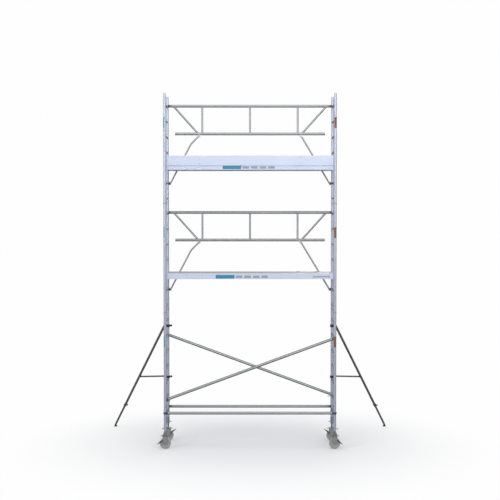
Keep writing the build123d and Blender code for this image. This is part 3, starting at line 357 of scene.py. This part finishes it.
ZINC_STEEL = finish_material("zinc_plated_steel", (0.42, 0.42, 0.41), (0.28, 0.27, 0.25),
                             0.7, (0.28, 0.46), ROUND_GRAIN, 0.18,
                             cloud=(22.0, 0.3), scuff=(140.0, 0.3),
                             rim=((0.10, 0.10, 0.10), 0.8))
FORK_STEEL = finish_material("dull_galvanised_plate", (0.38, 0.38, 0.37), (0.19, 0.19, 0.185),
                             0.3, (0.45, 0.6), ROUND_GRAIN, 0.22,
                             cloud=(30.0, 0.4), scuff=(120.0, 0.35),
                             rim=((0.05, 0.05, 0.05), 0.7))
CLIP_WIRE = finish_material("plated_spring_wire", (0.20, 0.20, 0.21), (0.42, 0.41, 0.40),
                            0.9, (0.3, 0.5), ROUND_GRAIN, 0.1, scuff=(200.0, 0.4))
LEVER_PAINT = finish_material("dark_lever_paint", (0.055, 0.055, 0.057), (0.20, 0.20, 0.20),
                              0.0, (0.35, 0.55), ROUND_GRAIN, 0.2,
                              scuff=(90.0, 0.35), coat=0.15)
CLAMP_COAT = finish_material("black_powder_coat", (0.018, 0.018, 0.019), (0.10, 0.10, 0.10),
                             0.0, (0.5, 0.68), ROUND_GRAIN, 0.5, scuff=(70.0, 0.25))
FOOT_RUBBER = finish_material("red_brown_rubber", (0.060, 0.020, 0.018), (0.16, 0.12, 0.10),
                              0.0, (0.55, 0.75), ROUND_GRAIN, 0.5, scuff=(70.0, 0.35))
GRIP_GREY = finish_material("grey_grip_rubber", (0.20, 0.205, 0.21), (0.32, 0.32, 0.32),
                            0.0, (0.5, 0.7), ROUND_GRAIN, 0.2, scuff=(120.0, 0.3))
TEAL_FILM = finish_material("teal_marker_film", (0.035, 0.27, 0.45), (0.10, 0.36, 0.52),
                            0.0, (0.3, 0.42), ROUND_GRAIN, 0.05, scuff=(80.0, 0.15))
GREY_FILM = finish_material("grey_marker_film", (0.36, 0.40, 0.48), (0.46, 0.49, 0.55),
                            0.0, (0.35, 0.5), ROUND_GRAIN, 0.05, scuff=(80.0, 0.2))
TAG_PLASTIC = finish_material("red_brown_tag", (0.26, 0.075, 0.040), (0.36, 0.18, 0.12),
                              0.0, (0.35, 0.5), ROUND_GRAIN, 0.1, scuff=(80.0, 0.2))
TAG_HOLDER = finish_material("olive_tag_holder", (0.16, 0.13, 0.075), (0.26, 0.23, 0.15),
                             0.0, (0.4, 0.6), ROUND_GRAIN, 0.15, scuff=(80.0, 0.2))

# rungs between the posts are darkened with painted shade, partly standing for their duller
# ribbed surface; the claws round them are their own dark grey
ZONE_TOP = 7
# painted shade: the rung zone's dark colour
colour_zone(FRAME_ALUMINIUM, (POST_X - 0.02, -1, 0),
            (POST_X + 0.02, POST_Y - POST_RADIUS, ZONE_TOP), (0.16, 0.17, 0.22))
colour_zone(BRACE_ALUMINIUM, (POST_X - 0.049, POST_Y - 0.06, 0),
            (POST_X + 0.05, POST_Y + 0.06, ZONE_TOP), (0.10, 0.11, 0.14))
PLYWOOD = anti_slip_plywood()
WHEEL_RUBBER = castor_wheel_rubber()

FINISHES = {
    "frame_aluminium": FRAME_ALUMINIUM, "brace_aluminium": BRACE_ALUMINIUM,
    "beam_aluminium": BEAM_ALUMINIUM, "plywood": PLYWOOD, "zinc_steel": ZINC_STEEL,
    "spring_steel": CLIP_WIRE, "grey_rubber": WHEEL_RUBBER, "dark_pedal": LEVER_PAINT,
    "black_clamp": CLAMP_COAT, "foot_rubber": FOOT_RUBBER,
}


def finish_of(entry):
    """A node's finish, by its name where the tower shows one of its own."""
    name = entry["node"]
    if name.startswith(("stabiliser_tube", "stabiliser_leg")):
        return DARK_TUBE
    if name.startswith("castor_fork"):
        return FORK_STEEL
    if name.startswith("levelling_nut"):
        return FRAME_ALUMINIUM
    return FINISHES[entry["material_slot"]]


for entry in frame["record"]["subparts"]:
    node = frame["nodes"][entry["node"]]
    if not node.material_slots:
        node.data.materials.append(None)
    for slot in node.material_slots:
        slot.material = finish_of(entry)


# ---- repeated details, made with geometry nodes ----------------------------------


def new_tree(name, inputs):
    """A geometry tree with named inputs, ending in realised, finished geometry."""
    tree = bpy.data.node_groups.new(name, "GeometryNodeTree")
    face = tree.interface
    face.new_socket("Geometry", in_out="INPUT", socket_type="NodeSocketGeometry")
    for label, kind, value in inputs:
        socket = face.new_socket(label, in_out="INPUT", socket_type=kind)
        if value is not None:
            socket.default_value = value
    face.new_socket("Finish", in_out="INPUT", socket_type="NodeSocketMaterial")
    face.new_socket("Geometry", in_out="OUTPUT", socket_type="NodeSocketGeometry")
    return tree, tree.nodes.new("NodeGroupInput"), tree.nodes.new("NodeGroupOutput")


def place_on_points(tree, enter, leave, shape):
    """Puts a shape on every point, its z along the point's 'out' direction."""
    nodes, links = tree.nodes, tree.links
    out = nodes.new("GeometryNodeInputNamedAttribute")
    out.data_type = "FLOAT_VECTOR"
    out.inputs["Name"].default_value = "out"
    turn = nodes.new("FunctionNodeAlignRotationToVector")
    turn.axis = "Z"
    put = nodes.new("GeometryNodeInstanceOnPoints")
    real = nodes.new("GeometryNodeRealizeInstances")
    paint = nodes.new("GeometryNodeSetMaterial")
    links.new(out.outputs["Attribute"], turn.inputs["Vector"])
    links.new(turn.outputs["Rotation"], put.inputs["Rotation"])
    links.new(enter.outputs["Geometry"], put.inputs["Points"])
    links.new(shape, put.inputs["Instance"])
    links.new(put.outputs["Instances"], real.inputs["Geometry"])
    links.new(real.outputs["Geometry"], paint.inputs["Geometry"])
    links.new(enter.outputs["Finish"], paint.inputs["Material"])
    links.new(paint.outputs["Geometry"], leave.inputs["Geometry"])


def make_rivet_tree():
    """A low conical rivet or screw head on each point."""
    tree, enter, leave = new_tree("rivet_heads", [
        ("Head Radius", "NodeSocketFloat", 0.004), ("Crown Radius", "NodeSocketFloat", 0.002),
        ("Head Height", "NodeSocketFloat", 0.002), ("Facets", "NodeSocketInt", 10)])
    head = tree.nodes.new("GeometryNodeMeshCone")
    tree.links.new(enter.outputs["Facets"], head.inputs["Vertices"])
    tree.links.new(enter.outputs["Crown Radius"], head.inputs["Radius Top"])
    tree.links.new(enter.outputs["Head Radius"], head.inputs["Radius Bottom"])
    tree.links.new(enter.outputs["Head Height"], head.inputs["Depth"])
    place_on_points(tree, enter, leave, head.outputs["Mesh"])
    return tree


def make_weld_tree():
    """A weld bead round a rung's end, saddled to the round post that it meets."""
    tree, enter, leave = new_tree("weld_beads", [
        ("Rung Radius", "NodeSocketFloat", 0.016), ("Post Radius", "NodeSocketFloat", 0.0254),
        ("Bead Radius", "NodeSocketFloat", 0.0022)])
    nodes, links = tree.nodes, tree.links
    seam = nodes.new("GeometryNodeCurvePrimitiveCircle")
    seam.inputs["Resolution"].default_value = 20
    links.new(enter.outputs["Rung Radius"], seam.inputs["Radius"])
    place = nodes.new("GeometryNodeInputPosition")
    split = nodes.new("ShaderNodeSeparateXYZ")
    links.new(place.outputs[0], split.inputs[0])

    def combine(operation, first, second=None):
        step = nodes.new("ShaderNodeMath")
        step.operation = operation
        links.new(first, step.inputs[0])
        if second is not None:
            links.new(second, step.inputs[1])
        return step.outputs[0]

    post = enter.outputs["Post Radius"]
    across = combine("MULTIPLY", split.outputs["X"], split.outputs["X"])
    depth = combine("SQRT", combine("SUBTRACT", combine("MULTIPLY", post, post), across))
    saddle = nodes.new("ShaderNodeCombineXYZ")
    links.new(combine("SUBTRACT", post, depth), saddle.inputs["Z"])
    bend = nodes.new("GeometryNodeSetPosition")
    links.new(seam.outputs["Curve"], bend.inputs["Geometry"])
    links.new(saddle.outputs[0], bend.inputs["Offset"])
    round_bead = nodes.new("GeometryNodeCurvePrimitiveCircle")
    round_bead.inputs["Resolution"].default_value = 6
    links.new(enter.outputs["Bead Radius"], round_bead.inputs["Radius"])
    sweep = nodes.new("GeometryNodeCurveToMesh")
    links.new(bend.outputs["Geometry"], sweep.inputs["Curve"])
    links.new(round_bead.outputs["Curve"], sweep.inputs["Profile Curve"])
    place_on_points(tree, enter, leave, sweep.outputs["Mesh"])
    return tree


def make_rib_tree():
    """Grip ribs along a rung, spread evenly round it."""
    tree, enter, leave = new_tree("rung_ribs", [
        ("Rung Radius", "NodeSocketFloat", 0.016), ("Rib Radius", "NodeSocketFloat", 0.001),
        ("Rib Length", "NodeSocketFloat", 0.5), ("Rib Count", "NodeSocketInt", 14)])
    nodes, links = tree.nodes, tree.links
    ring = nodes.new("GeometryNodeMeshCircle")
    links.new(enter.outputs["Rib Count"], ring.inputs["Vertices"])
    links.new(enter.outputs["Rung Radius"], ring.inputs["Radius"])
    rib = nodes.new("GeometryNodeMeshCylinder")
    rib.inputs["Vertices"].default_value = 6
    links.new(enter.outputs["Rib Radius"], rib.inputs["Radius"])
    links.new(enter.outputs["Rib Length"], rib.inputs["Depth"])
    spread = nodes.new("GeometryNodeInstanceOnPoints")
    links.new(ring.outputs["Mesh"], spread.inputs["Points"])
    links.new(rib.outputs["Mesh"], spread.inputs["Instance"])
    whole = nodes.new("GeometryNodeRealizeInstances")
    links.new(spread.outputs["Instances"], whole.inputs["Geometry"])
    place_on_points(tree, enter, leave, whole.outputs["Geometry"])
    return tree


RIVET_TREE = make_rivet_tree()
WELD_TREE = make_weld_tree()
RIB_TREE = make_rib_tree()


def settle_normals(mesh):
    """Merged doubles and outward faces."""
    work = bmesh.new()
    work.from_mesh(mesh)
    bmesh.ops.remove_doubles(work, verts=work.verts, dist=1e-6)
    bmesh.ops.recalc_face_normals(work, faces=work.faces)
    work.to_mesh(mesh)
    work.free()


def grow(name, tree, points, finish, body, slot, **values):
    """Runs a tree over (place, out) points and keeps the result as one plain piece."""
    seed = bpy.data.meshes.new(name + "_points")
    seed.from_pydata([tuple(place) for place, _ in points], [], [])
    out = seed.attributes.new("out", "FLOAT_VECTOR", "POINT")
    for index, (_, direction) in enumerate(points):
        out.data[index].vector = direction
    source = bpy.data.objects.new(name + "_points", seed)
    bpy.context.collection.objects.link(source)
    modifier = source.modifiers.new("grow", "NODES")
    modifier.node_group = tree
    named = {label.replace("_", " ").title(): value for label, value in values.items()}
    named["Finish"] = finish
    for item in tree.interface.items_tree:
        if item.item_type == "SOCKET" and item.in_out == "INPUT" and item.name in named:
            modifier[item.identifier] = named[item.name]
    evaluated = source.evaluated_get(bpy.context.evaluated_depsgraph_get())
    mesh = bpy.data.meshes.new_from_object(evaluated)
    mesh.name = name
    source.modifiers.remove(modifier)
    bpy.data.objects.remove(source)
    settle_normals(mesh)
    piece = bpy.data.objects.new(name, mesh)
    bpy.context.collection.objects.link(piece)
    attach(piece, body)
    return piece


def rung_ends(base):
    """Both ends of every rung on the two side frames of one level, pointing outwards."""
    ends = []
    for index in range(RUNGS_PER_FRAME):
        height = base + RUNG_PITCH * (index + 0.5)
        for side in SIDES.values():
            for face in FACES.values():
                place = (side * POST_X, face * (POST_Y - POST_RADIUS), height)
                ends.append((place, (0, face, 0)))
    return ends


for level, base in zip(LEVELS, FRAME_BASES):
    grow(f"rung_welds_{level}", WELD_TREE, rung_ends(base), FRAME_ALUMINIUM, "tower",
         "frame_aluminium", rung_radius=RUNG_RADIUS, post_radius=POST_RADIUS,
         bead_radius=0.0022)


def free_rungs(base):
    """The middles of one level's rungs, less the two that platform hooks rest on."""
    middles = []
    for index in range(RUNGS_PER_FRAME):
        height = base + RUNG_PITCH * (index + 0.5)
        hooked = any(abs(top - height) < RUNG_PITCH / 2 for top in BEAM_TOPS.values())
        if not hooked:
            middles += [((side * POST_X, 0, height), (0, 1, 0)) for side in SIDES.values()]
    return middles


for level, base in zip(LEVELS, FRAME_BASES):
    grow(f"rung_ribs_{level}", RIB_TREE, free_rungs(base), FRAME_ALUMINIUM, "tower",
         "frame_aluminium", rung_radius=RUNG_RADIUS, rib_radius=0.0010,
         rib_length=2 * (POST_Y - POST_RADIUS) - 0.012, rib_count=14)


def beam_rivets(level):
    """Pairs of rivets along the outer face of each side beam."""
    height = (BEAM_FOOTS[level] + BEAM_TOPS[level]) / 2
    pairs, first_x, spacing, half_gap = 11, -1.42, 0.284, 0.028
    spots = []
    for step in range(pairs):
        x = first_x + step * spacing
        for rise in (-half_gap, half_gap):
            for face in FACES.values():
                spots.append(((x, face * abs(BEAM_FACE_Y), height + rise), (0, face, 0)))
    return spots


def deck_screws(level):
    """Screws along both long edges of a deck."""
    screws, first_x, spacing, row_y = 20, -1.47, 0.1547, 0.262
    spots = []
    for step in range(screws):
        x = first_x + step * spacing
        for face in FACES.values():
            spots.append(((x, face * row_y, BEAM_TOPS[level]), (0, 0, 1)))
    return spots


toe_low, toe_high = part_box("toe_boards")
toe_rivets = []
for rivet_x in (-1.455, -0.9, 0.9, 1.455):
    for rise in (0.035, 0.135):
        toe_rivets.append(((rivet_x, toe_low[1], toe_low[2] + rise), (0, -1, 0)))
        toe_rivets.append(((rivet_x, toe_high[1], toe_low[2] + rise), (0, 1, 0)))
grow("toe_board_rivets", RIVET_TREE, toe_rivets, ZINC_STEEL, "tower", "zinc_steel",
     head_radius=0.0045, crown_radius=0.002, head_height=0.0018, facets=12)
for level in BEAM_TOPS:
    rivets = beam_rivets(level)
    if level == "upper":  # the toe boards cover the upper row
        rivets = [spot for spot in rivets if spot[0][2] < toe_low[2] - 0.006]
    grow(f"beam_rivets_{level}", RIVET_TREE, rivets, ZINC_STEEL, "tower", "zinc_steel",
         head_radius=0.0055, crown_radius=0.0025, head_height=0.002, facets=12)
    grow(f"deck_screws_{level}", RIVET_TREE, deck_screws(level), ZINC_STEEL, "tower",
         "zinc_steel", head_radius=0.005, crown_radius=0.0035, head_height=0.0006, facets=10)


# ---- pieces made face by face ----------------------------------------------------


def new_piece(name, points, faces, finish, body, slot):
    """A finished piece from points and faces, riding a body."""
    mesh = bpy.data.meshes.new(name)
    mesh.from_pydata([tuple(p) for p in points], [], faces)
    mesh.materials.append(finish)
    settle_normals(mesh)
    piece = bpy.data.objects.new(name, mesh)
    bpy.context.collection.objects.link(piece)
    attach(piece, body)
    return piece


def turned_profile(profile, x, y, steps):
    """Points and faces of a closed turned shape from (radius, height) pairs."""
    points, faces = [], []
    for radius, height in profile:
        for step in range(steps):
            angle = 2 * math.pi * step / steps
            points.append((x + radius * math.cos(angle), y + radius * math.sin(angle), height))
    count = len(profile)
    for ring in range(count):
        following = (ring + 1) % count
        for step in range(steps):
            after = (step + 1) % steps
            faces.append((ring * steps + step, ring * steps + after,
                          following * steps + after, following * steps + step))
    return points, faces


def thread_ridge(x, y, root, crest, low, high, pitch, steps):
    """A closed helical ridge of trapezoid section round an upright stem."""
    turns = (high - low - pitch) / pitch
    stations = int(turns * steps)
    section = ((root - 0.0006, -0.0028), (crest, -0.0012), (crest, 0.0012),
               (root - 0.0006, 0.0028))
    points, faces = [], []
    for station in range(stations + 1):
        angle = 2 * math.pi * station / steps
        height = low + pitch / 2 + pitch * station / steps
        for radius, rise in section:
            points.append((x + radius * math.cos(angle), y + radius * math.sin(angle),
                           height + rise))
    for station in range(stations):
        here, there = station * 4, (station + 1) * 4
        for corner in range(4):
            after = (corner + 1) % 4
            faces.append((here + corner, here + after, there + after, there + corner))
    faces.append((0, 1, 2, 3))
    last = stations * 4
    faces.append((last + 3, last + 2, last + 1, last))
    return points, faces


def join_shapes(*shapes):
    """Several (points, faces) shapes as one."""
    points, faces = [], []
    for more_points, more_faces in shapes:
        start = len(points)
        points += list(more_points)
        faces += [tuple(start + index for index in face) for face in more_faces]
    return points, faces


def upright_prism(x, y, radius, sides, low, high, hole):
    """A closed regular prism with a round hole through it."""
    points, faces = [], []
    ring = sides * 4
    wedge = 2 * math.pi / sides
    turns = [2 * math.pi * index / ring for index in range(ring)]
    for height in (low, high):
        for angle in turns:
            off = (angle % wedge) - wedge / 2
            reach = radius * math.cos(wedge / 2) / math.cos(off)
            points.append((x + reach * math.cos(angle), y + reach * math.sin(angle), height))
        for angle in turns:
            points.append((x + hole * math.cos(angle), y + hole * math.sin(angle), height))
    for index in range(ring):
        after = (index + 1) % ring
        outer_low, inner_low = 0, ring
        outer_high, inner_high = 2 * ring, 3 * ring
        faces.append((outer_low + index, outer_low + after, outer_high + after,
                      outer_high + index))
        faces.append((inner_low + after, inner_low + index, inner_high + index,
                      inner_high + after))
        faces.append((outer_high + index, outer_high + after, inner_high + after,
                      inner_high + index))
        faces.append((outer_low + after, outer_low + index, inner_low + index,
                      inner_low + after))
    return points, faces


def make_threaded_spindle(corner, x, y):
    """The levelling spindle with its real trapezoid thread, flange and hexagon."""
    node = f"castor_spindle_{corner}"
    low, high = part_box(node)
    kingpin, flange, bore = 0.010, (high[0] - low[0]) / 2, 0.013
    flange_low, flange_high = SWIVEL_FLANGE
    hexagon_high = flange_high + 0.017
    root, crest, pitch = 0.0166, 0.018, 0.008
    body = turned_profile([(0.0006, low[2]), (kingpin - 0.001, low[2]),
                           (kingpin, low[2] + 0.001), (kingpin, flange_low),
                           (flange - 0.001, flange_low), (flange, flange_low + 0.001),
                           (flange, flange_high - 0.001), (flange - 0.001, flange_high),
                           (root, flange_high), (root, high[2] - 0.001),
                           (root - 0.001, high[2]), (bore, high[2]), (bore, hexagon_high),
                           (0.0006, hexagon_high)], x, y, 32)
    hexagon = upright_prism(x, y, 0.024, 6, flange_high, hexagon_high, root - 0.0004)
    thread = thread_ridge(x, y, root, crest, hexagon_high, high[2], pitch, 24)
    piece = new_piece(f"threaded_spindle_{corner}", *join_shapes(body, hexagon, thread),
                      ZINC_STEEL, f"spindle_{corner}", "zinc_steel")
    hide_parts(node)


def make_lock_teeth(corner, x, y):
    """The ring of teeth that the swivel lock drops into, round the spindle flange."""
    points, faces = [], []
    teeth = 24
    for index in range(teeth):
        turn = 2 * math.pi * index / teeth
        out = Vector((math.cos(turn), math.sin(turn), 0))
        along = Vector((-out.y, out.x, 0))
        corners = []
        for height in (SWIVEL_FLANGE[0] + 0.0008, SWIVEL_FLANGE[1] - 0.0008):
            for reach, half in ((0.0286, 0.0023), (0.0308, 0.0014)):
                for hand in (-1, 1):
                    corners.append(Vector((x, y, height)) + out * reach + along * half * hand)
        start = len(points)
        points += corners
        for face in ((0, 1, 3, 2), (4, 6, 7, 5), (0, 4, 5, 1), (2, 3, 7, 6), (0, 2, 6, 4),
                     (1, 5, 7, 3)):
            faces.append(tuple(start + corner_index for corner_index in face))
    new_piece(f"lock_teeth_{corner}", points, faces, ZINC_STEEL, f"spindle_{corner}",
              "zinc_steel")


def make_handle_grip(corner, x, y, facing):
    """The ribbed grey grip on the end of the levelling nut's handle."""
    profile = [(0.0, 0.041)]
    for ring in range(5):
        start = 0.0412 + ring * 0.0036
        profile += [(0.0086, start), (0.0098, start + 0.0009), (0.0098, start + 0.0023),
                    (0.0086, start + 0.0032)]
    profile += [(0.0, 0.0598)]
    points, faces = [], []
    steps = 16
    for radius, reach in profile:
        for step in range(steps):
            angle = 2 * math.pi * step / steps
            points.append((x + facing * reach, y + radius * math.cos(angle),
                           HANDLE_HEIGHT + radius * math.sin(angle)))
    for ring in range(len(profile) - 1):
        for step in range(steps):
            after = (step + 1) % steps
            faces.append((ring * steps + step, ring * steps + after,
                          (ring + 1) * steps + after, (ring + 1) * steps + step))
    new_piece(f"handle_grip_{corner}", points, faces, GRIP_GREY,
              f"levelling_nut_{corner}", "dark_pedal")


for face_name, face in FACES.items():
    for side_name, side in SIDES.items():
        corner = f"{face_name}_{side_name}"
        make_threaded_spindle(corner, side * POST_X, face * POST_Y)
        make_lock_teeth(corner, side * POST_X, face * POST_Y)
        make_handle_grip(corner, side * POST_X, face * POST_Y, -face * side)


# ---- plain markers, with no lettering --------------------------------------------


def slab(low, high):
    """Points and faces of a thin plate with chamfered face edges."""
    (x0, y0, z0), (x1, y1, z1) = low, high
    inset = min(x1 - x0, z1 - z0) * 0.06
    rear = [(x0, y1, z0), (x1, y1, z0), (x1, y1, z1), (x0, y1, z1)]
    rim = [(x0, (y0 + y1) / 2, z0), (x1, (y0 + y1) / 2, z0), (x1, (y0 + y1) / 2, z1),
           (x0, (y0 + y1) / 2, z1)]
    front = [(x0 + inset, y0, z0 + inset), (x1 - inset, y0, z0 + inset),
             (x1 - inset, y0, z1 - inset), (x0 + inset, y0, z1 - inset)]
    faces = [(3, 2, 1, 0), (8, 9, 10, 11)]
    for ring in (0, 4):
        for index in range(4):
            after = (index + 1) % 4
            faces.append((ring + index, ring + after, ring + 4 + after, ring + 4 + index))
    return rear + rim + front, faces


def post_wrap(x, y, low, high, start, end, lift=0.0004, steps=10):
    """A thin film wrapped round the front of a post between two angles."""
    points, faces = [], []
    for step in range(steps + 1):
        angle = math.radians(start + (end - start) * step / steps)
        for radius in (POST_RADIUS + 0.00005, POST_RADIUS + lift):
            for height in (low, high):
                points.append((x + radius * math.cos(angle), y + radius * math.sin(angle),
                               height))
    for step in range(steps):
        here, there = step * 4, (step + 1) * 4
        for first, second in ((0, 1), (1, 3), (3, 2), (2, 0)):
            faces.append((here + first, here + second, there + second, there + first))
    faces.append((0, 2, 3, 1))
    last = steps * 4
    faces.append((last + 1, last + 3, last + 2, last))
    return points, faces


BEAM_BARS = 4
POST_BARS = 7
POST_BAR_LENGTH = 0.032
POST_BAR_PITCH = 0.050


def bars_along(start, end, low, high, y):
    """Plain blocks, evenly spread over a run."""
    shapes = []
    pitch = (end - start) / BEAM_BARS
    for index in range(BEAM_BARS):
        x = start + pitch * index
        shapes.append(slab((x, y, low), (x + pitch * 0.75, y + 0.0005, high)))
    return join_shapes(*shapes)


# for each level: the coloured block from x to x, where the bars end, and z to z
MARKER_FACE = BEAM_FACE_Y - 0.0005
beam_markers = {"lower": ((-0.616, -0.278), 0.359, (3.066, 3.131)),
                "upper": ((-0.489, -0.158), 0.480, (5.026, 5.088))}
for level, ((start, end), bars_end, (low, high)) in beam_markers.items():
    new_piece(f"beam_marker_{level}",
              *slab((start, MARKER_FACE, low), (end, BEAM_FACE_Y, high)),
              TEAL_FILM, "tower", "frame_aluminium")
    new_piece(f"beam_bars_{level}",
              *bars_along(end + 0.025, bars_end, low + 0.010, high - 0.010, MARKER_FACE),
              GREY_FILM, "tower", "frame_aluminium")
new_piece("beam_strip_lower", *slab((1.130, MARKER_FACE, 3.088), (1.436, BEAM_FACE_Y, 3.111)),
          GREY_FILM, "tower", "frame_aluminium")

for level, base in zip(LEVELS, FRAME_BASES):
    left_x, right_x, front_y = -POST_X, POST_X, -POST_Y
    new_piece(f"post_marker_{level}",
              *post_wrap(left_x, front_y, base + 1.389, base + 1.585, 200, 262),
              TEAL_FILM, "tower", "frame_aluminium")
    bars = []
    for index in range(POST_BARS):
        top = base + 1.370 - index * POST_BAR_PITCH
        bars.append(post_wrap(left_x, front_y, top - POST_BAR_LENGTH, top, 212, 250, steps=6))
    new_piece(f"post_bars_{level}", *join_shapes(*bars), GREY_FILM, "tower",
              "frame_aluminium")
    tag_y = front_y - POST_RADIUS
    new_piece(f"inspection_tag_{level}",
              *slab((right_x - 0.020, tag_y - 0.0042, base + 1.387),
                    (right_x + 0.020, tag_y - 0.0012, base + 1.538)),
              TAG_PLASTIC, "tower", "frame_aluminium")
    new_piece(f"tag_holder_{level}",
              *join_shapes(slab((right_x - 0.013, tag_y - 0.0050, base + 1.530),
                                (right_x + 0.013, tag_y - 0.0008, base + 1.579)),
                           post_wrap(right_x, front_y, base + 1.548, base + 1.572, 180, 360,
                                     lift=0.0012, steps=16)),
              TAG_HOLDER, "tower", "frame_aluminium")


# ---- floor, light and camera -----------------------------------------------------


def studio_floor_surface():
    """A pale floor that fades into the white backdrop, and is darker in reflections."""
    material = bpy.data.materials.new("pale_floor")
    material.use_nodes = True
    nodes, links = material.node_tree.nodes, material.node_tree.links
    shader = nodes["Principled BSDF"]
    shader.inputs["Roughness"].default_value = 0.9
    shader.inputs["Specular IOR Level"].default_value = 0.0
    rays = nodes.new("ShaderNodeLightPath")
    tone = nodes.new("ShaderNodeMix")
    tone.data_type = "RGBA"
    tone.inputs[6].default_value = (0.30, 0.30, 0.31, 1)
    tone.inputs[7].default_value = (0.93, 0.93, 0.93, 1)
    links.new(rays.outputs["Is Camera Ray"], tone.inputs["Factor"])
    links.new(tone.outputs[2], shader.inputs["Base Color"])
    backdrop = nodes.new("ShaderNodeEmission")
    backdrop.inputs["Color"].default_value = (0.99, 0.99, 0.99, 1)
    place = nodes.new("ShaderNodeTexCoord")
    distance = nodes.new("ShaderNodeVectorMath")
    distance.operation = "LENGTH"
    links.new(place.outputs["Object"], distance.inputs[0])
    fade = nodes.new("ShaderNodeMapRange")
    fade.interpolation_type = "SMOOTHSTEP"
    fade.inputs["From Min"].default_value = 1.2
    fade.inputs["From Max"].default_value = 4.6
    links.new(distance.outputs["Value"], fade.inputs["Value"])
    seen_only = nodes.new("ShaderNodeMath")
    seen_only.operation = "MULTIPLY"
    links.new(fade.outputs["Result"], seen_only.inputs[0])
    links.new(rays.outputs["Is Camera Ray"], seen_only.inputs[1])
    blend = nodes.new("ShaderNodeMixShader")
    links.new(seen_only.outputs[0], blend.inputs["Fac"])
    links.new(shader.outputs["BSDF"], blend.inputs[1])
    links.new(backdrop.outputs["Emission"], blend.inputs[2])
    links.new(blend.outputs[0], nodes["Material Output"].inputs["Surface"])
    return material


floor_mesh = bpy.data.meshes.new("studio_floor")
half = 60.0
floor_mesh.from_pydata([(-half, -half, 0), (half, -half, 0), (half, half, 0),
                        (-half, half, 0)], [], [(0, 1, 2, 3)])
floor_mesh.materials.append(studio_floor_surface())
floor = bpy.data.objects.new("studio_floor", floor_mesh)
bpy.context.collection.objects.link(floor)

world = bpy.data.worlds.new("studio")
world.use_nodes = True
sky = world.node_tree
sky_place = sky.nodes.new("ShaderNodeTexCoord")
sky_split = sky.nodes.new("ShaderNodeSeparateXYZ")
sky_ramp = sky.nodes.new("ShaderNodeValToRGB")
sky_ramp.color_ramp.elements[0].position = 0.0
sky_ramp.color_ramp.elements[0].color = (0.92, 0.93, 0.95, 1)
sky_ramp.color_ramp.elements[1].position = 0.75
sky_ramp.color_ramp.elements[1].color = (0.46, 0.47, 0.49, 1)
sky.links.new(sky_place.outputs["Generated"], sky_split.inputs[0])
sky.links.new(sky_split.outputs["Z"], sky_ramp.inputs[0])
seen = sky.nodes.new("ShaderNodeLightPath")
pick = sky.nodes.new("ShaderNodeMix")
pick.data_type = "RGBA"
pick.inputs[7].default_value = (0.99, 0.99, 0.99, 1)
sky.links.new(seen.outputs["Is Camera Ray"], pick.inputs["Factor"])
sky.links.new(sky_ramp.outputs["Color"], pick.inputs[6])
sky.links.new(pick.outputs[2], sky.nodes["Background"].inputs["Color"])
sky.nodes["Background"].inputs["Strength"].default_value = 1.0
bpy.context.scene.world = world


def soft_light(name, place, target, size, power):
    """A rectangular area light that faces a target."""
    light = bpy.data.lights.new(name, "AREA")
    light.shape = "RECTANGLE"
    light.size, light.size_y = size
    light.energy = power
    lamp = bpy.data.objects.new(name, light)
    lamp.location = place
    lamp.rotation_euler = (Vector(target) - Vector(place)).to_track_quat("-Z", "Y").to_euler()
    bpy.context.collection.objects.link(lamp)


soft_light("overhead_softbox", (0, -2, 13), (0, 0, 3), (12, 10), 520)
soft_light("left_softbox", (-9, -9, 7), (0, 0, 3), (5, 7), 260)
soft_light("front_softbox", (3, -16, 7), (0, 0, 3), (8, 6), 420)
soft_light("rear_softbox", (5, 13, 8), (0, 0, 3), (7, 6), 320)

eye = bpy.data.cameras.new("camera")
eye.lens = 79.65
eye.sensor_width = 36.0
eye.clip_end = 200.0
camera = bpy.data.objects.new("camera", eye)
camera.location = (0, -20.15, 4.28)
camera_dip = 2.024
camera.rotation_euler = (math.radians(90 - camera_dip), 0, 0)
bpy.context.collection.objects.link(camera)
bpy.context.scene.camera = camera
bpy.context.scene.view_settings.view_transform = "Standard"
